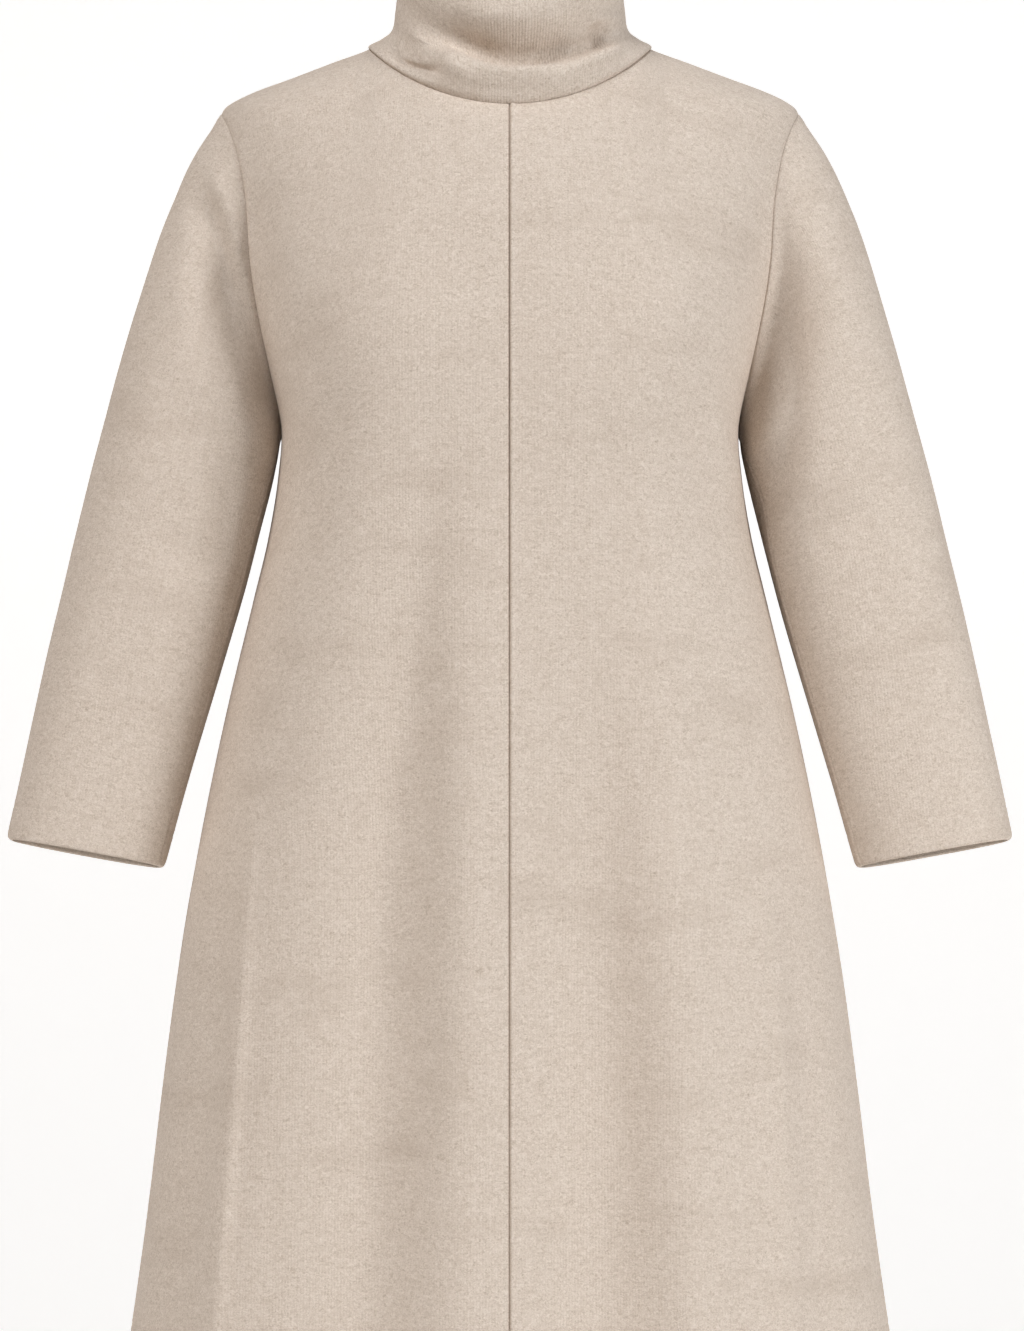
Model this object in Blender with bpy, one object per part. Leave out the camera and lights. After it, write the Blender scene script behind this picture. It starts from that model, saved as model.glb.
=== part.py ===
"""A-line tunic dress in brushed jersey, hollow and in its worn shape, as if a wearer filled it.

Metres, +Z up. The front faces -Y and the wearer's left is +X. The origin is the middle of the neck,
level with the points where the shoulder seams meet the collar, which is where the wearer carries it.
Each sewn piece is a cloth wall between an outer and an inner grid of points: two fronts that meet in
a centre seam, one back, two bracelet-length sleeves and a slouching funnel collar.
"""

import math

import bpy
import numpy as np

# Driving dimensions
CLOTH = 0.0018  # thickness of the brushed jersey
COLLAR_CLOTH = 0.0030  # the collar is folded double at its top edge
SEAM_PULL = 0.00017  # each side of a seam stands back this far, which parts two pieces by 0.3 mm
TURN_UP = 0.0014  # extra thickness where a hem is turned up inside
TURN_UP_STEP = 0.0012  # height over which the turn-up thins out

NECK_HALF_WIDTH = 0.104
FRONT_NECK_DROP = 0.0485
BACK_NECK_RISE = 0.012
NECK_DROP_POWER = 1.6  # how quickly the front neckline dips towards its middle

SHOULDER_TIP_HEIGHT = -0.0470
UNDERARM_HEIGHT = -0.2790
FRONT_HEM_LIFT = 0.012  # the bust takes up this much length at the centre front

SEAM_AT_UNDERARM = math.radians(90)  # the side seam starts at the widest point
SEAM_AT_HEM = math.radians(82)  # and swings a little forward of it
SEAM_SWING = 0.22  # over this much height
HEM_HEIGHT = -0.962
HEM_BAND = 0.027
CUFF_BAND = 0.025
SLEEVE_LENGTH = 0.56  # along its outer edge, from the shoulder tip to the cuff

# Grid sizes: quads along and across each piece
NECK_QUADS = 9  # from the centre to the shoulder seam
SHOULDER_QUADS = 9
LOWER_QUADS = 15  # from the hem band to the underarm
UPPER_QUADS = 13  # from the underarm to the top edge
SLEEVE_QUADS = 18
HALF_QUADS = NECK_QUADS + SHOULDER_QUADS
FINE_STEPS = 160  # steps in which a column of the chest is first laid out
BEND_WEIGHT = 0.05  # rows gather where the cloth bends, this many metres for one radian

OATMEAL = (0.62, 0.54, 0.46, 1.0)

# Level rings of the body. Above the shoulder tip the half width follows the shoulder seam
RING_COLUMNS = ("height", "half_width", "front_reach", "back_reach", "roundness")
BODY_RINGS = (
    (-0.9740, 0.2830, 0.1930, 0.1850, 2.90),
    (-0.8490, 0.2653, 0.1800, 0.1720, 2.90),
    (-0.7600, 0.2546, 0.1710, 0.1630, 2.90),
    (-0.6720, 0.2428, 0.1620, 0.1535, 2.85),
    (-0.5830, 0.2277, 0.1535, 0.1430, 2.80),
    (-0.4950, 0.2096, 0.1465, 0.1325, 2.80),
    (-0.4060, 0.1880, 0.1405, 0.1225, 2.80),
    (-0.3620, 0.1775, 0.1380, 0.1185, 2.80),
    (-0.3180, 0.1705, 0.1360, 0.1155, 2.85),
    (-0.2790, 0.1682, 0.1350, 0.1140, 2.90),
    (-0.2400, 0.1760, 0.1335, 0.1145, 2.90),
    (-0.2000, 0.1864, 0.1305, 0.1155, 2.70),
    (-0.1600, 0.1972, 0.1260, 0.1160, 2.45),
    (-0.1200, 0.2068, 0.1190, 0.1135, 2.20),
    (-0.0900, 0.2137, 0.1105, 0.1100, 2.10),
    (-0.0736, 0.2160, 0.1045, 0.1070, 2.05),
    (-0.0600, 0.2157, 0.0980, 0.1040, 2.05),
    (-0.0470, 0.2125, 0.0895, 0.1010, 2.05),
    (-0.0400, 0.2050, 0.0850, 0.0990, 2.05),
    (-0.0327, 0.1905, 0.0795, 0.0965, 2.05),
    (-0.0217, 0.1610, 0.0700, 0.0930, 2.05),
    (-0.0098, 0.1300, 0.0585, 0.0895, 2.05),
    (0.0000, 0.1040, 0.0470, 0.0860, 2.05),
    (0.0120, 0.0870, 0.0350, 0.0780, 2.05),
)

# Fullness over the bust at each side: across, height, spread and rise
BUST = (0.098, -0.232, 0.062, 0.0080)

# Armhole seam: how far it reaches forward and back at half height, and how much more towards the tip
ARMHOLE_REACH = 0.046
ARMHOLE_REACH_UP = 0.020

# Soft flutes that hang in the skirt, each a trough (-) or ridge (+) down one face
FLUTE_FADE = 0.22  # they die away where the cosine of the angle drops under this, at the side seams
FLUTE_COLUMNS = ("x_top", "x_hem", "start", "full", "width_top", "width_hem", "rise")
FRONT_FLUTES = (
    (-0.068, -0.104, -0.280, -0.600, 0.030, 0.042, -0.0150),
    (-0.024, -0.036, -0.280, -0.640, 0.028, 0.042, 0.0130),
    (0.052, 0.072, -0.300, -0.780, 0.030, 0.042, -0.0140),
    (0.098, 0.132, -0.300, -0.780, 0.030, 0.040, 0.0120),
    (-0.165, -0.212, -0.480, -0.860, 0.022, 0.024, 0.0060),
    (-0.190, -0.252, -0.520, -0.860, 0.014, 0.018, -0.0060),
)
BACK_FLUTES = (
    (-0.095, -0.125, -0.360, -0.760, 0.030, 0.040, 0.0130),
    (-0.030, -0.045, -0.360, -0.760, 0.028, 0.036, -0.0120),
    (0.040, 0.048, -0.400, -0.800, 0.030, 0.040, 0.0110),
    (0.105, 0.135, -0.380, -0.780, 0.030, 0.038, -0.0110),
    (0.150, 0.205, -0.460, -0.860, 0.022, 0.030, 0.0110),
    (-0.155, -0.210, -0.460, -0.860, 0.022, 0.030, -0.0070),
)

# Sleeve rings, from the armhole to the cuff. Each runs from an outer to an inner height
SLEEVE_COLUMNS = ("along", "outer_height", "inner_height", "half_depth", "forward")
SLEEVE_RINGS = (
    (0.00, -0.047, -0.279, 0.0600, 0.000),
    (0.12, -0.115, -0.290, 0.0615, 0.001),
    (0.25, -0.185, -0.306, 0.0615, 0.003),
    (0.40, -0.265, -0.337, 0.0600, 0.006),
    (0.55, -0.345, -0.389, 0.0565, 0.010),
    (0.70, -0.425, -0.458, 0.0520, 0.016),
    (0.85, -0.505, -0.532, 0.0460, 0.024),
    (1.00, -0.582, -0.603, 0.0400, 0.034),
)
PROFILE_COLUMNS = ("height", "reach")
SLEEVE_OUTER = (
    (-0.582, 0.3680),
    (-0.406, 0.3310),
    (-0.273, 0.2985),
    (-0.185, 0.2734),
    (-0.118, 0.2510),
    (-0.074, 0.2310),
    (-0.047, 0.2125),
)
SLEEVE_INNER = (
    (-0.603, 0.2535),
    (-0.539, 0.2357),
    (-0.495, 0.2226),
    (-0.450, 0.2095),
    (-0.406, 0.1970),
    (-0.362, 0.1857),
    (-0.318, 0.1752),
    (-0.279, 0.1682),
)
CUFF_TILT = 0.012  # the back of the cuff hangs this much lower than the front
CAP_SHARE = 0.32  # share of the sleeve over which its cap settles into a plain tube
UNDERARM_SHARE = 0.24  # and the same under the arm
SLEEVE_ROUNDNESS = 2.4

# Levels up the collar from its seam: how far up and out the cloth goes, at front, side and back
COLLAR_COLUMNS = ("up_front", "out_front", "up_side", "out_side", "up_back", "out_back")
COLLAR_LEVELS = (
    (0.0000, 0.0000, 0.0000, 0.0000, 0.0000, 0.0000),
    (0.0060, 0.0035, 0.0025, 0.0005, 0.0050, 0.0010),
    (0.0150, 0.0065, 0.0065, -0.0040, 0.0110, -0.0010),
    (0.0240, 0.0050, 0.0095, -0.0100, 0.0170, -0.0040),
    (0.0290, -0.0020, 0.0125, -0.0150, 0.0230, -0.0070),
    (0.0310, -0.0100, 0.0175, -0.0175, 0.0290, -0.0090),
    (0.0370, -0.0160, 0.0250, -0.0185, 0.0350, -0.0100),
    (0.0460, -0.0155, 0.0330, -0.0195, 0.0410, -0.0108),
    (0.0550, -0.0105, 0.0410, -0.0205, 0.0470, -0.0112),
    (0.0640, -0.0050, 0.0480, -0.0212, 0.0530, -0.0115),
    (0.0730, -0.0020, 0.0550, -0.0218, 0.0590, -0.0117),
    (0.0810, -0.0022, 0.0620, -0.0222, 0.0640, -0.0118),
    (0.0880, -0.0045, 0.0680, -0.0225, 0.0670, -0.0120),
)


def through(table, columns, column, at):
    """Smooth curve through one named column of a table, read at values of its first column."""
    rows = np.array(sorted(table), float)
    x, y = rows[:, 0], rows[:, columns.index(column)]
    slope = np.gradient(y, x)
    at = np.clip(np.asarray(at, float), x[0], x[-1])
    i = np.clip(np.searchsorted(x, at) - 1, 0, len(x) - 2)
    step = x[i + 1] - x[i]
    s = (at - x[i]) / step
    rise = (2 * s**3 - 3 * s**2 + 1) * y[i] + (3 * s**2 - 2 * s**3) * y[i + 1]
    lean = (s**3 - 2 * s**2 + s) * slope[i] + (s**3 - s**2) * slope[i + 1]
    return rise + lean * step


def ease(value):
    """0 up to 1, with a soft start and end."""
    s = np.clip(value, 0, 1)
    return s * s * (3 - 2 * s)


def unit(vectors):
    return vectors / np.maximum(np.linalg.norm(vectors, axis=-1, keepdims=True), 1e-9)


def points(x, y, z):
    return np.stack(np.broadcast_arrays(x, y, z), axis=-1).astype(float)


# The body surface


def ring_words(height):
    return [through(BODY_RINGS, RING_COLUMNS, word, height) for word in RING_COLUMNS[1:]]


def bust_rise(x, height):
    across, level, spread, rise = BUST
    reach = ((np.abs(x) - across) ** 2 + (0.8 * (height - level)) ** 2) / spread**2
    return rise * np.exp(-reach)


def plain_ring(angle, height):
    """Body surface without flutes. Angle 0 is the centre front, and grows towards +X."""
    half, front, back, roundness = ring_words(height)
    s, c = np.sin(angle), np.cos(angle)
    x = half * np.sign(s) * np.abs(s) ** (2 / roundness)
    reach = np.where(c > 0, front + bust_rise(x, height), back)
    return points(x, -np.sign(c) * np.abs(c) ** (2 / roundness) * reach, height)


def depth_at(x, height, face):
    """The same surface read by width and height, for the chest (face -1) and the back (face 1)."""
    half, front, back, roundness = ring_words(height)
    share = np.clip(np.abs(x) / half, 0, 1)
    round_off = (1 - share**roundness) ** (1 / roundness)
    reach = front if face < 0 else back
    full = bust_rise(x, height) * round_off if face < 0 else 0
    return face * (reach * round_off + full)


def flute_rise(x, height, flutes):
    """How far the flutes push the cloth out at this place."""
    total = np.zeros(np.broadcast(x, height).shape)
    for row in flutes:
        flute = dict(zip(FLUTE_COLUMNS, row))
        down = ease((flute["start"] - height) / (flute["start"] - flute["full"]))
        along = np.clip((flute["start"] - height) / (flute["start"] - HEM_HEIGHT), 0, 1)
        middle = flute["x_top"] + (flute["x_hem"] - flute["x_top"]) * along
        width = flute["width_top"] + (flute["width_hem"] - flute["width_top"]) * along
        total += flute["rise"] * down * np.exp(-(((x - middle) / width) ** 2))
    return total


def skirt(angle, height):
    """Body surface with its flutes, for heights from the hem to the underarm."""
    angle, height = np.broadcast_arrays(np.asarray(angle, float), np.asarray(height, float))
    ring = plain_ring(angle, height)
    nudge = 1e-3
    around = plain_ring(angle + nudge, height) - plain_ring(angle - nudge, height)
    out = unit(points(around[..., 1], -around[..., 0], 0))
    x = ring[..., 0]
    in_front = np.cos(angle) > 0
    rise = np.where(in_front, flute_rise(x, height, FRONT_FLUTES), flute_rise(x, height, BACK_FLUTES))
    fade = ease(np.abs(np.cos(angle)) / FLUTE_FADE)
    return ring + out * (rise * fade)[..., None]


def side_seam(height):
    """Angle of the side seam, which leaves the widest point as it goes down."""
    down = ease((UNDERARM_HEIGHT - height) / SEAM_SWING)
    return SEAM_AT_UNDERARM + (SEAM_AT_HEM - SEAM_AT_UNDERARM) * down


# Neckline, shoulder seam and armhole


def neckline(turn):
    """Collar seam. Turn 0 is the centre front, a quarter turn the shoulder at +X."""
    s, c = np.sin(turn), np.cos(turn)
    x = NECK_HALF_WIDTH * s
    z = -FRONT_NECK_DROP * np.clip(c, 0, 1) ** NECK_DROP_POWER + BACK_NECK_RISE * np.clip(-c, 0, 1) ** 2
    y = np.where(c > 0, depth_at(x, z, -1), depth_at(x, z, 1))
    return points(x, y, z)


def neckline_out(turn):
    """Way out of the cloth at the collar seam, shared by the collar and the body."""
    return unit(points(0.8 * np.sin(turn), -0.8 * np.cos(turn), 0.6))


def shoulder(share):
    """Shoulder seam at +X, from the neck (0) to the tip (1)."""
    height = np.linspace(0, SHOULDER_TIP_HEIGHT, 200)
    width = through(BODY_RINGS, RING_COLUMNS, "half_width", height)
    across = width[0] + (width[-1] - width[0]) * np.asarray(share, float)
    return points(across, 0, np.interp(across, width, height))


def shoulder_out(share):
    nudge = 0.01
    run = shoulder(np.clip(share + nudge, 0, 1)) - shoulder(np.clip(share - nudge, 0, 1))
    over = unit(points(-run[..., 2], 0, run[..., 0]))
    blend = ease(np.asarray(share) / 0.3)[..., None]
    return unit(neckline_out(np.array(math.pi / 2)) * (1 - blend) + over * blend)


def armhole(turn):
    """Armhole seam at +X. Turn 0 is the shoulder tip, a quarter turn the front, a half the underarm."""
    s, c = np.sin(turn), np.cos(turn)
    z = (SHOULDER_TIP_HEIGHT + UNDERARM_HEIGHT) / 2 + (SHOULDER_TIP_HEIGHT - UNDERARM_HEIGHT) / 2 * c
    half, front, back, roundness = ring_words(z)
    share = np.abs(s) * (ARMHOLE_REACH + ARMHOLE_REACH_UP * c) / np.where(s > 0, front, back)
    x = half * (1 - share**roundness) ** (1 / roundness)
    y = np.where(s > 0, depth_at(x, z, -1), depth_at(x, z, 1))
    return points(x, y, z)


def armhole_out(turn, lean):
    """Way out of the cloth at the armhole. Under the arm the body (lean 1) and the sleeve
    (lean -1) part from each other; everywhere else they share it."""
    s, c = np.sin(turn), np.cos(turn)
    x = 0.55 * np.clip(c, 0, 1) + 0.40 * s**2 + 0.6 * lean * np.clip(-c, 0, 1) ** 2
    return unit(points(x, -s, c))


# Chest and back above the underarm


def top_edge(share, face):
    """Neckline and then shoulder seam, from the centre (0) to the tip (1), with the ways out."""
    split = NECK_QUADS / HALF_QUADS
    turn = np.clip(share / split, 0, 1) * math.pi / 2
    turn = turn if face < 0 else math.pi - turn
    along = np.clip((share - split) / (1 - split), 0, 1)
    on_neck = (share <= split)[..., None]
    edge = np.where(on_neck, neckline(turn), shoulder(along))
    out = np.where(on_neck, neckline_out(turn), shoulder_out(along))
    return edge, out


def chest_columns(share, face):
    """Columns of cloth at +X from the underarm ring to the top edge, and their armhole turns.

    The columns are laid out flat in width and height between the four edges, then given the
    depth of the body, and their points gathered where the cloth bends.
    """
    rise = np.linspace(0, 1, FINE_STEPS + 1)[:, None]
    share = np.asarray(share, float)[None, :]
    ring = plain_ring(share * SEAM_AT_UNDERARM, np.full(share.shape, UNDERARM_HEIGHT))
    top, _ = top_edge(share, face)
    turn = math.pi * (1 - rise)
    outer = armhole(-face * turn)
    middle = top_edge(np.zeros((1, 1)), face)[0]
    tip = shoulder(np.ones((1, 1)))
    flat = []
    for axis in (0, 2):
        low, high = ring[..., axis], top[..., axis]
        side = outer[..., axis]
        start = 0 if axis == 0 else UNDERARM_HEIGHT
        centre = start + (middle[..., axis] - start) * rise
        corners = [centre[:1], side[:1], centre[-1:], tip[..., axis]]
        blend = (1 - rise) * low + rise * high + (1 - share) * centre + share * side
        blend = blend - (1 - share) * (1 - rise) * corners[0] - share * (1 - rise) * corners[1]
        flat.append(blend - (1 - share) * rise * corners[2] - share * rise * corners[3])
    cloth = points(flat[0], depth_at(flat[0], flat[1], face), flat[1])
    return gathered(cloth, turn)


def gathered(cloth, turn):
    """Keeps as many points of each fine column as the grid has rows, closer where it bends."""
    step = np.diff(cloth, axis=0)
    length = np.linalg.norm(step, axis=-1)
    way = step / length[..., None]
    bend = np.arccos(np.clip((way[1:] * way[:-1]).sum(axis=-1), -1, 1))
    bend = np.concatenate([bend[:1], (bend[1:] + bend[:-1]) / 2, bend[-1:]])
    start = np.zeros((1, cloth.shape[1]))
    weight = np.concatenate([start, np.cumsum(length + BEND_WEIGHT * bend, axis=0)])
    picked = np.zeros((UPPER_QUADS + 1, cloth.shape[1], 3))
    turns = np.zeros((UPPER_QUADS + 1, cloth.shape[1]))
    for column in range(cloth.shape[1]):
        at = np.linspace(0, weight[-1, column], UPPER_QUADS + 1)
        turns[:, column] = np.interp(at, weight[:, column], turn[:, 0])
        for axis in range(3):
            picked[:, column, axis] = np.interp(at, weight[:, column], cloth[:, column, axis])
    return picked, turns


# Grids of points and cloth walls


def normals_of(grid, around=False):
    """Way out at each point of a grid whose rows go up and columns go anticlockwise from above."""
    if around:
        wide = np.concatenate([grid[:, -1:], grid, grid[:, :1]], axis=1)
        across = (wide[:, 2:] - wide[:, :-2]) / 2
    else:
        across = np.gradient(grid, axis=1)
    up = np.gradient(grid, axis=0)
    return unit(np.cross(across, up))


def parted(grid, out, edge, around=False):
    """Stands one edge of a grid back from the seam, which parts it from the next piece."""
    grid = grid.copy()
    places = {"low": np.s_[0], "high": np.s_[-1], "first": np.s_[:, 0], "last": np.s_[:, -1]}
    turned = {"low": 1, "high": -1, "first": -1, "last": 1}
    here = places[edge]
    along = np.gradient(grid[here], axis=0)
    if around:
        ring = np.concatenate([grid[here][-1:], grid[here], grid[here][:1]])
        along = (ring[2:] - ring[:-2]) / 2
    inward = unit(np.cross(out[here], along)) * turned[edge]
    grid[here] = grid[here] + inward * SEAM_PULL
    return grid


def wall_mesh(name, outer, inner, around):
    """Closed mesh between two grids of points. A tube's columns join up when around is set."""
    rows, columns = outer.shape[:2]
    index = np.arange(rows * columns).reshape(rows, columns)
    if around:
        index = np.concatenate([index, index[:, :1]], axis=1)
    inside = index + rows * columns
    faces = []
    for r in range(rows - 1):
        for c in range(index.shape[1] - 1):
            faces.append((index[r, c], index[r, c + 1], index[r + 1, c + 1], index[r + 1, c]))
            faces.append((inside[r, c], inside[r + 1, c], inside[r + 1, c + 1], inside[r, c + 1]))
    for c in range(index.shape[1] - 1):
        faces.append((index[0, c + 1], index[0, c], inside[0, c], inside[0, c + 1]))
        faces.append((index[-1, c], index[-1, c + 1], inside[-1, c + 1], inside[-1, c]))
    if not around:
        for r in range(rows - 1):
            faces.append((index[r, 0], index[r + 1, 0], inside[r + 1, 0], inside[r, 0]))
            faces.append((index[r + 1, -1], index[r, -1], inside[r, -1], inside[r + 1, -1]))
    mesh = bpy.data.meshes.new(name)
    mesh.from_pydata(np.concatenate([outer.reshape(-1, 3), inner.reshape(-1, 3)]).tolist(), [], faces)
    return mesh


def cloth_piece(name, outer, out, thickness, material, parent, around=False):
    """One sewn piece: a wall as thick as its thickness grid, named for its node."""
    inner = outer - out * thickness[..., None]
    mesh = wall_mesh(name, outer, inner, around)
    mesh.validate()
    mesh.shade_smooth()
    mesh.materials.append(material)
    piece = bpy.data.objects.new(name, mesh)
    parent.users_collection[0].objects.link(piece)
    piece.parent = parent
    return piece


def skirt_heights(angle):
    """Heights of the rows from the hem to just below the underarm, at each angle."""
    band = HEM_HEIGHT + HEM_BAND
    rows = np.linspace(band + TURN_UP_STEP, UNDERARM_HEIGHT, LOWER_QUADS + 1)
    level = np.concatenate([[HEM_HEIGHT, band], rows[:-1]])[:, None]
    hang = (UNDERARM_HEIGHT - level) / (UNDERARM_HEIGHT - HEM_HEIGHT)
    return level + FRONT_HEM_LIFT * np.clip(np.cos(angle), 0, 1) ** 1.5 * hang**2


def panel(first, last, face):
    """Outer grid and ways out of a body panel. Columns run from share first to share last."""
    count = round(abs(last - first) * HALF_QUADS)
    step = (last - first) / count
    wide = np.linspace(first - step, last + step, count + 3)
    turned = wide if face < 0 else -wide
    rough = skirt_heights(turned * SEAM_AT_HEM + (0 if face < 0 else math.pi))
    reach = side_seam(rough) if face < 0 else math.pi - side_seam(rough)
    angle = turned * reach + (0 if face < 0 else math.pi)
    lower = skirt(angle, skirt_heights(angle))
    share = np.clip(np.abs(wide), 0, 1)
    upper, turns = chest_columns(share, face)
    mirror = np.where(wide < 0, -1.0, 1.0)
    upper[..., 0] *= mirror
    grid = np.concatenate([lower, upper])
    out = normals_of(grid)
    _, top_out = top_edge(share, face)
    out[-1] = top_out * points(mirror, 1, 1)
    for column in (1, -2):
        if abs(abs(wide[column]) - 1) < 1e-9:
            seam_out = armhole_out(turns[:, column] * (1 if face < 0 else -1), 1)
            out[len(lower) :, column] = seam_out * (mirror[column], 1, 1)
    return grid[:, 1:-1], out[:, 1:-1]


def body_thickness(shape):
    thickness = np.full(shape, CLOTH)
    thickness[:2] += TURN_UP
    return thickness


def make_panel(name, first, last, face, material, parent):
    grid, out = panel(first, last, face)
    for edge in ("first", "last", "high"):
        grid = parted(grid, out, edge)
    for column, share in ((0, first), (-1, last)):
        if abs(share) == 1:
            grid[LOWER_QUADS + 2, column, 1] += face * SEAM_PULL
    return cloth_piece(name, grid, out, body_thickness(grid.shape[:2]), material, parent)


def plain_sleeve(turn, along):
    """Sleeve at +X as a plain tube. Turn goes round from its outer edge by the front."""
    level = {word: through(SLEEVE_RINGS, SLEEVE_COLUMNS, word, along) for word in SLEEVE_COLUMNS[1:]}
    outer = through(SLEEVE_OUTER, PROFILE_COLUMNS, "reach", level["outer_height"])
    inner = through(SLEEVE_INNER, PROFILE_COLUMNS, "reach", level["inner_height"])
    s, c = (np.sign(v) * np.abs(v) ** (2 / SLEEVE_ROUNDNESS) for v in (np.sin(turn), np.cos(turn)))
    x = (outer + inner) / 2 + (outer - inner) / 2 * c
    z = (level["outer_height"] + level["inner_height"]) / 2
    z = z + (level["outer_height"] - level["inner_height"]) / 2 * c + CUFF_TILT / 2 * s * along**3
    return points(x, -level["forward"] - level["half_depth"] * s, z)


def sleeve_surface(turn, along):
    """The sleeve, which takes the line of the armhole at its top."""
    share = UNDERARM_SHARE + (CAP_SHARE - UNDERARM_SHARE) * (1 + np.cos(turn)) / 2
    settle = (1 - ease(along / share))[..., None]
    return plain_sleeve(turn, along) + (armhole(turn) - plain_sleeve(turn, 0 * along)) * settle


def make_sleeve(name, sign, material, parent):
    _, front = chest_columns([1.0], -1)
    _, back = chest_columns([1.0], 1)
    turn = np.concatenate([-back[::-1, 0], front[1:-1, 0]])
    band = CUFF_BAND / SLEEVE_LENGTH
    step = TURN_UP_STEP / SLEEVE_LENGTH
    along = np.concatenate([[1.0, 1 - band], np.linspace(1 - band - step, 0, SLEEVE_QUADS)])
    turns, alongs = np.meshgrid(turn, along)
    grid = sleeve_surface(turns, alongs)
    out = normals_of(grid, around=True)
    out[-1] = armhole_out(turn, -1)
    grid = parted(grid, out, "high", around=True)
    if sign < 0:
        grid, out = grid[:, ::-1] * (-1, 1, 1), out[:, ::-1] * (-1, 1, 1)
    thickness = np.full(grid.shape[:2], CLOTH)
    thickness[:2] += TURN_UP
    return cloth_piece(name, grid, out, thickness, material, parent, around=True)


def make_collar(name, material, parent):
    count = 4 * NECK_QUADS
    turn = np.arange(count) * 2 * math.pi / count
    levels = np.array(COLLAR_LEVELS)
    c = np.cos(turn)
    front, back = np.where(c > 0, c**2, 0), np.where(c < 0, c**2, 0)
    share = {"front": front, "back": back, "side": 1 - front - back}

    def mixed(word):
        return sum(
            levels[:, COLLAR_COLUMNS.index(f"{word}_{part}"), None] * weight[None, :]
            for part, weight in share.items()
        )

    seam = neckline(turn)
    ring = np.concatenate([seam[-1:], seam, seam[:1]])
    run = ring[2:] - ring[:-2]
    away = unit(points(run[:, 1], -run[:, 0], 0))
    grid = seam[None] + away[None] * mixed("out")[..., None]
    grid[..., 2] += mixed("up")
    out = normals_of(grid, around=True)
    out[0] = neckline_out(turn)
    grid = parted(grid, out, "low", around=True)
    thickness = np.full(grid.shape[:2], COLLAR_CLOTH)
    thickness[0] = CLOTH
    return cloth_piece(name, grid, out, thickness, material, parent, around=True)


def jersey():
    material = bpy.data.materials.new("oatmeal_jersey")
    material.use_nodes = True
    shader = material.node_tree.nodes["Principled BSDF"]
    shader.inputs["Base Color"].default_value = OATMEAL
    shader.inputs["Roughness"].default_value = 0.92
    shader.inputs["Metallic"].default_value = 0.0
    return material


def main():
    for old in list(bpy.data.objects):
        bpy.data.objects.remove(old)
    collection = bpy.data.collections.new("tunic_dress")
    bpy.context.scene.collection.children.link(collection)
    worn_at = bpy.data.objects.new("worn_at", None)
    collection.objects.link(worn_at)
    cloth = jersey()
    make_panel("front_left", 0.0, 1.0, -1, cloth, worn_at)
    make_panel("front_right", -1.0, 0.0, -1, cloth, worn_at)
    make_panel("back", 1.0, -1.0, 1, cloth, worn_at)
    make_sleeve("sleeve_left", 1, cloth, worn_at)
    make_sleeve("sleeve_right", -1, cloth, worn_at)
    make_collar("collar", cloth, worn_at)


main()
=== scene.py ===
"""Looks of the A-line tunic dress in brushed oatmeal jersey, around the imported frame.

Metres, +Z up. The front faces -Y and the wearer's left is +X. The origin is the middle of the neck.
The cloth follows the rings, flutes, armholes and collar levels of the solids in a finer grid, and
adds the seams that dip, the hems that roll, the creases and the nap of the jersey.
"""

import math

import bpy
import numpy as np
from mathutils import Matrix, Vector


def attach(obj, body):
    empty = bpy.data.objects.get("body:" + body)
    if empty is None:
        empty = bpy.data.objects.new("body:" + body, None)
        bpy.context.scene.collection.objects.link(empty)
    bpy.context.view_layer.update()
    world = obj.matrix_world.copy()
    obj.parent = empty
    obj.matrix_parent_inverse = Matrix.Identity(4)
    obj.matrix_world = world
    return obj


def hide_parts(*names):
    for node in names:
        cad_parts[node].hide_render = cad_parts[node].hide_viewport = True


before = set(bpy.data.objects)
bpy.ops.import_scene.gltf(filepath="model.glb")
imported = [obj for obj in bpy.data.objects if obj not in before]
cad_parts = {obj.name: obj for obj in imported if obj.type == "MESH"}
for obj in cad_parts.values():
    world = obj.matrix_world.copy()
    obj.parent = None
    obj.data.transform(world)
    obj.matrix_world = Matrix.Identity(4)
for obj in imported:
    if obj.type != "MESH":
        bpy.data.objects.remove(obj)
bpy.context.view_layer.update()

# Sizes of the cut, as in the solids but for the cloth's thickness and the cuffs' tilt
CLOTH = 0.0016  # the solids' wall is a little thicker
TURN_UP = 0.0014  # extra thickness where a hem is turned up inside
COLLAR_CLOTH = 0.0030

NECK_HALF_WIDTH = 0.104
FRONT_NECK_DROP = 0.0485
BACK_NECK_RISE = 0.012
NECK_DROP_POWER = 1.6

SHOULDER_TIP_HEIGHT = -0.0470
UNDERARM_HEIGHT = -0.2790
FRONT_HEM_LIFT = 0.012
SEAM_AT_UNDERARM = math.radians(90)
SEAM_AT_HEM = math.radians(82)
SEAM_SWING = 0.22
HEM_HEIGHT = -0.962
HEM_BAND = 0.027
CUFF_BAND = 0.025
SLEEVE_LENGTH = 0.56
NECK_SHARE = 0.5  # share of a panel's columns that end at the neckline, the rest at the shoulder

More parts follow.
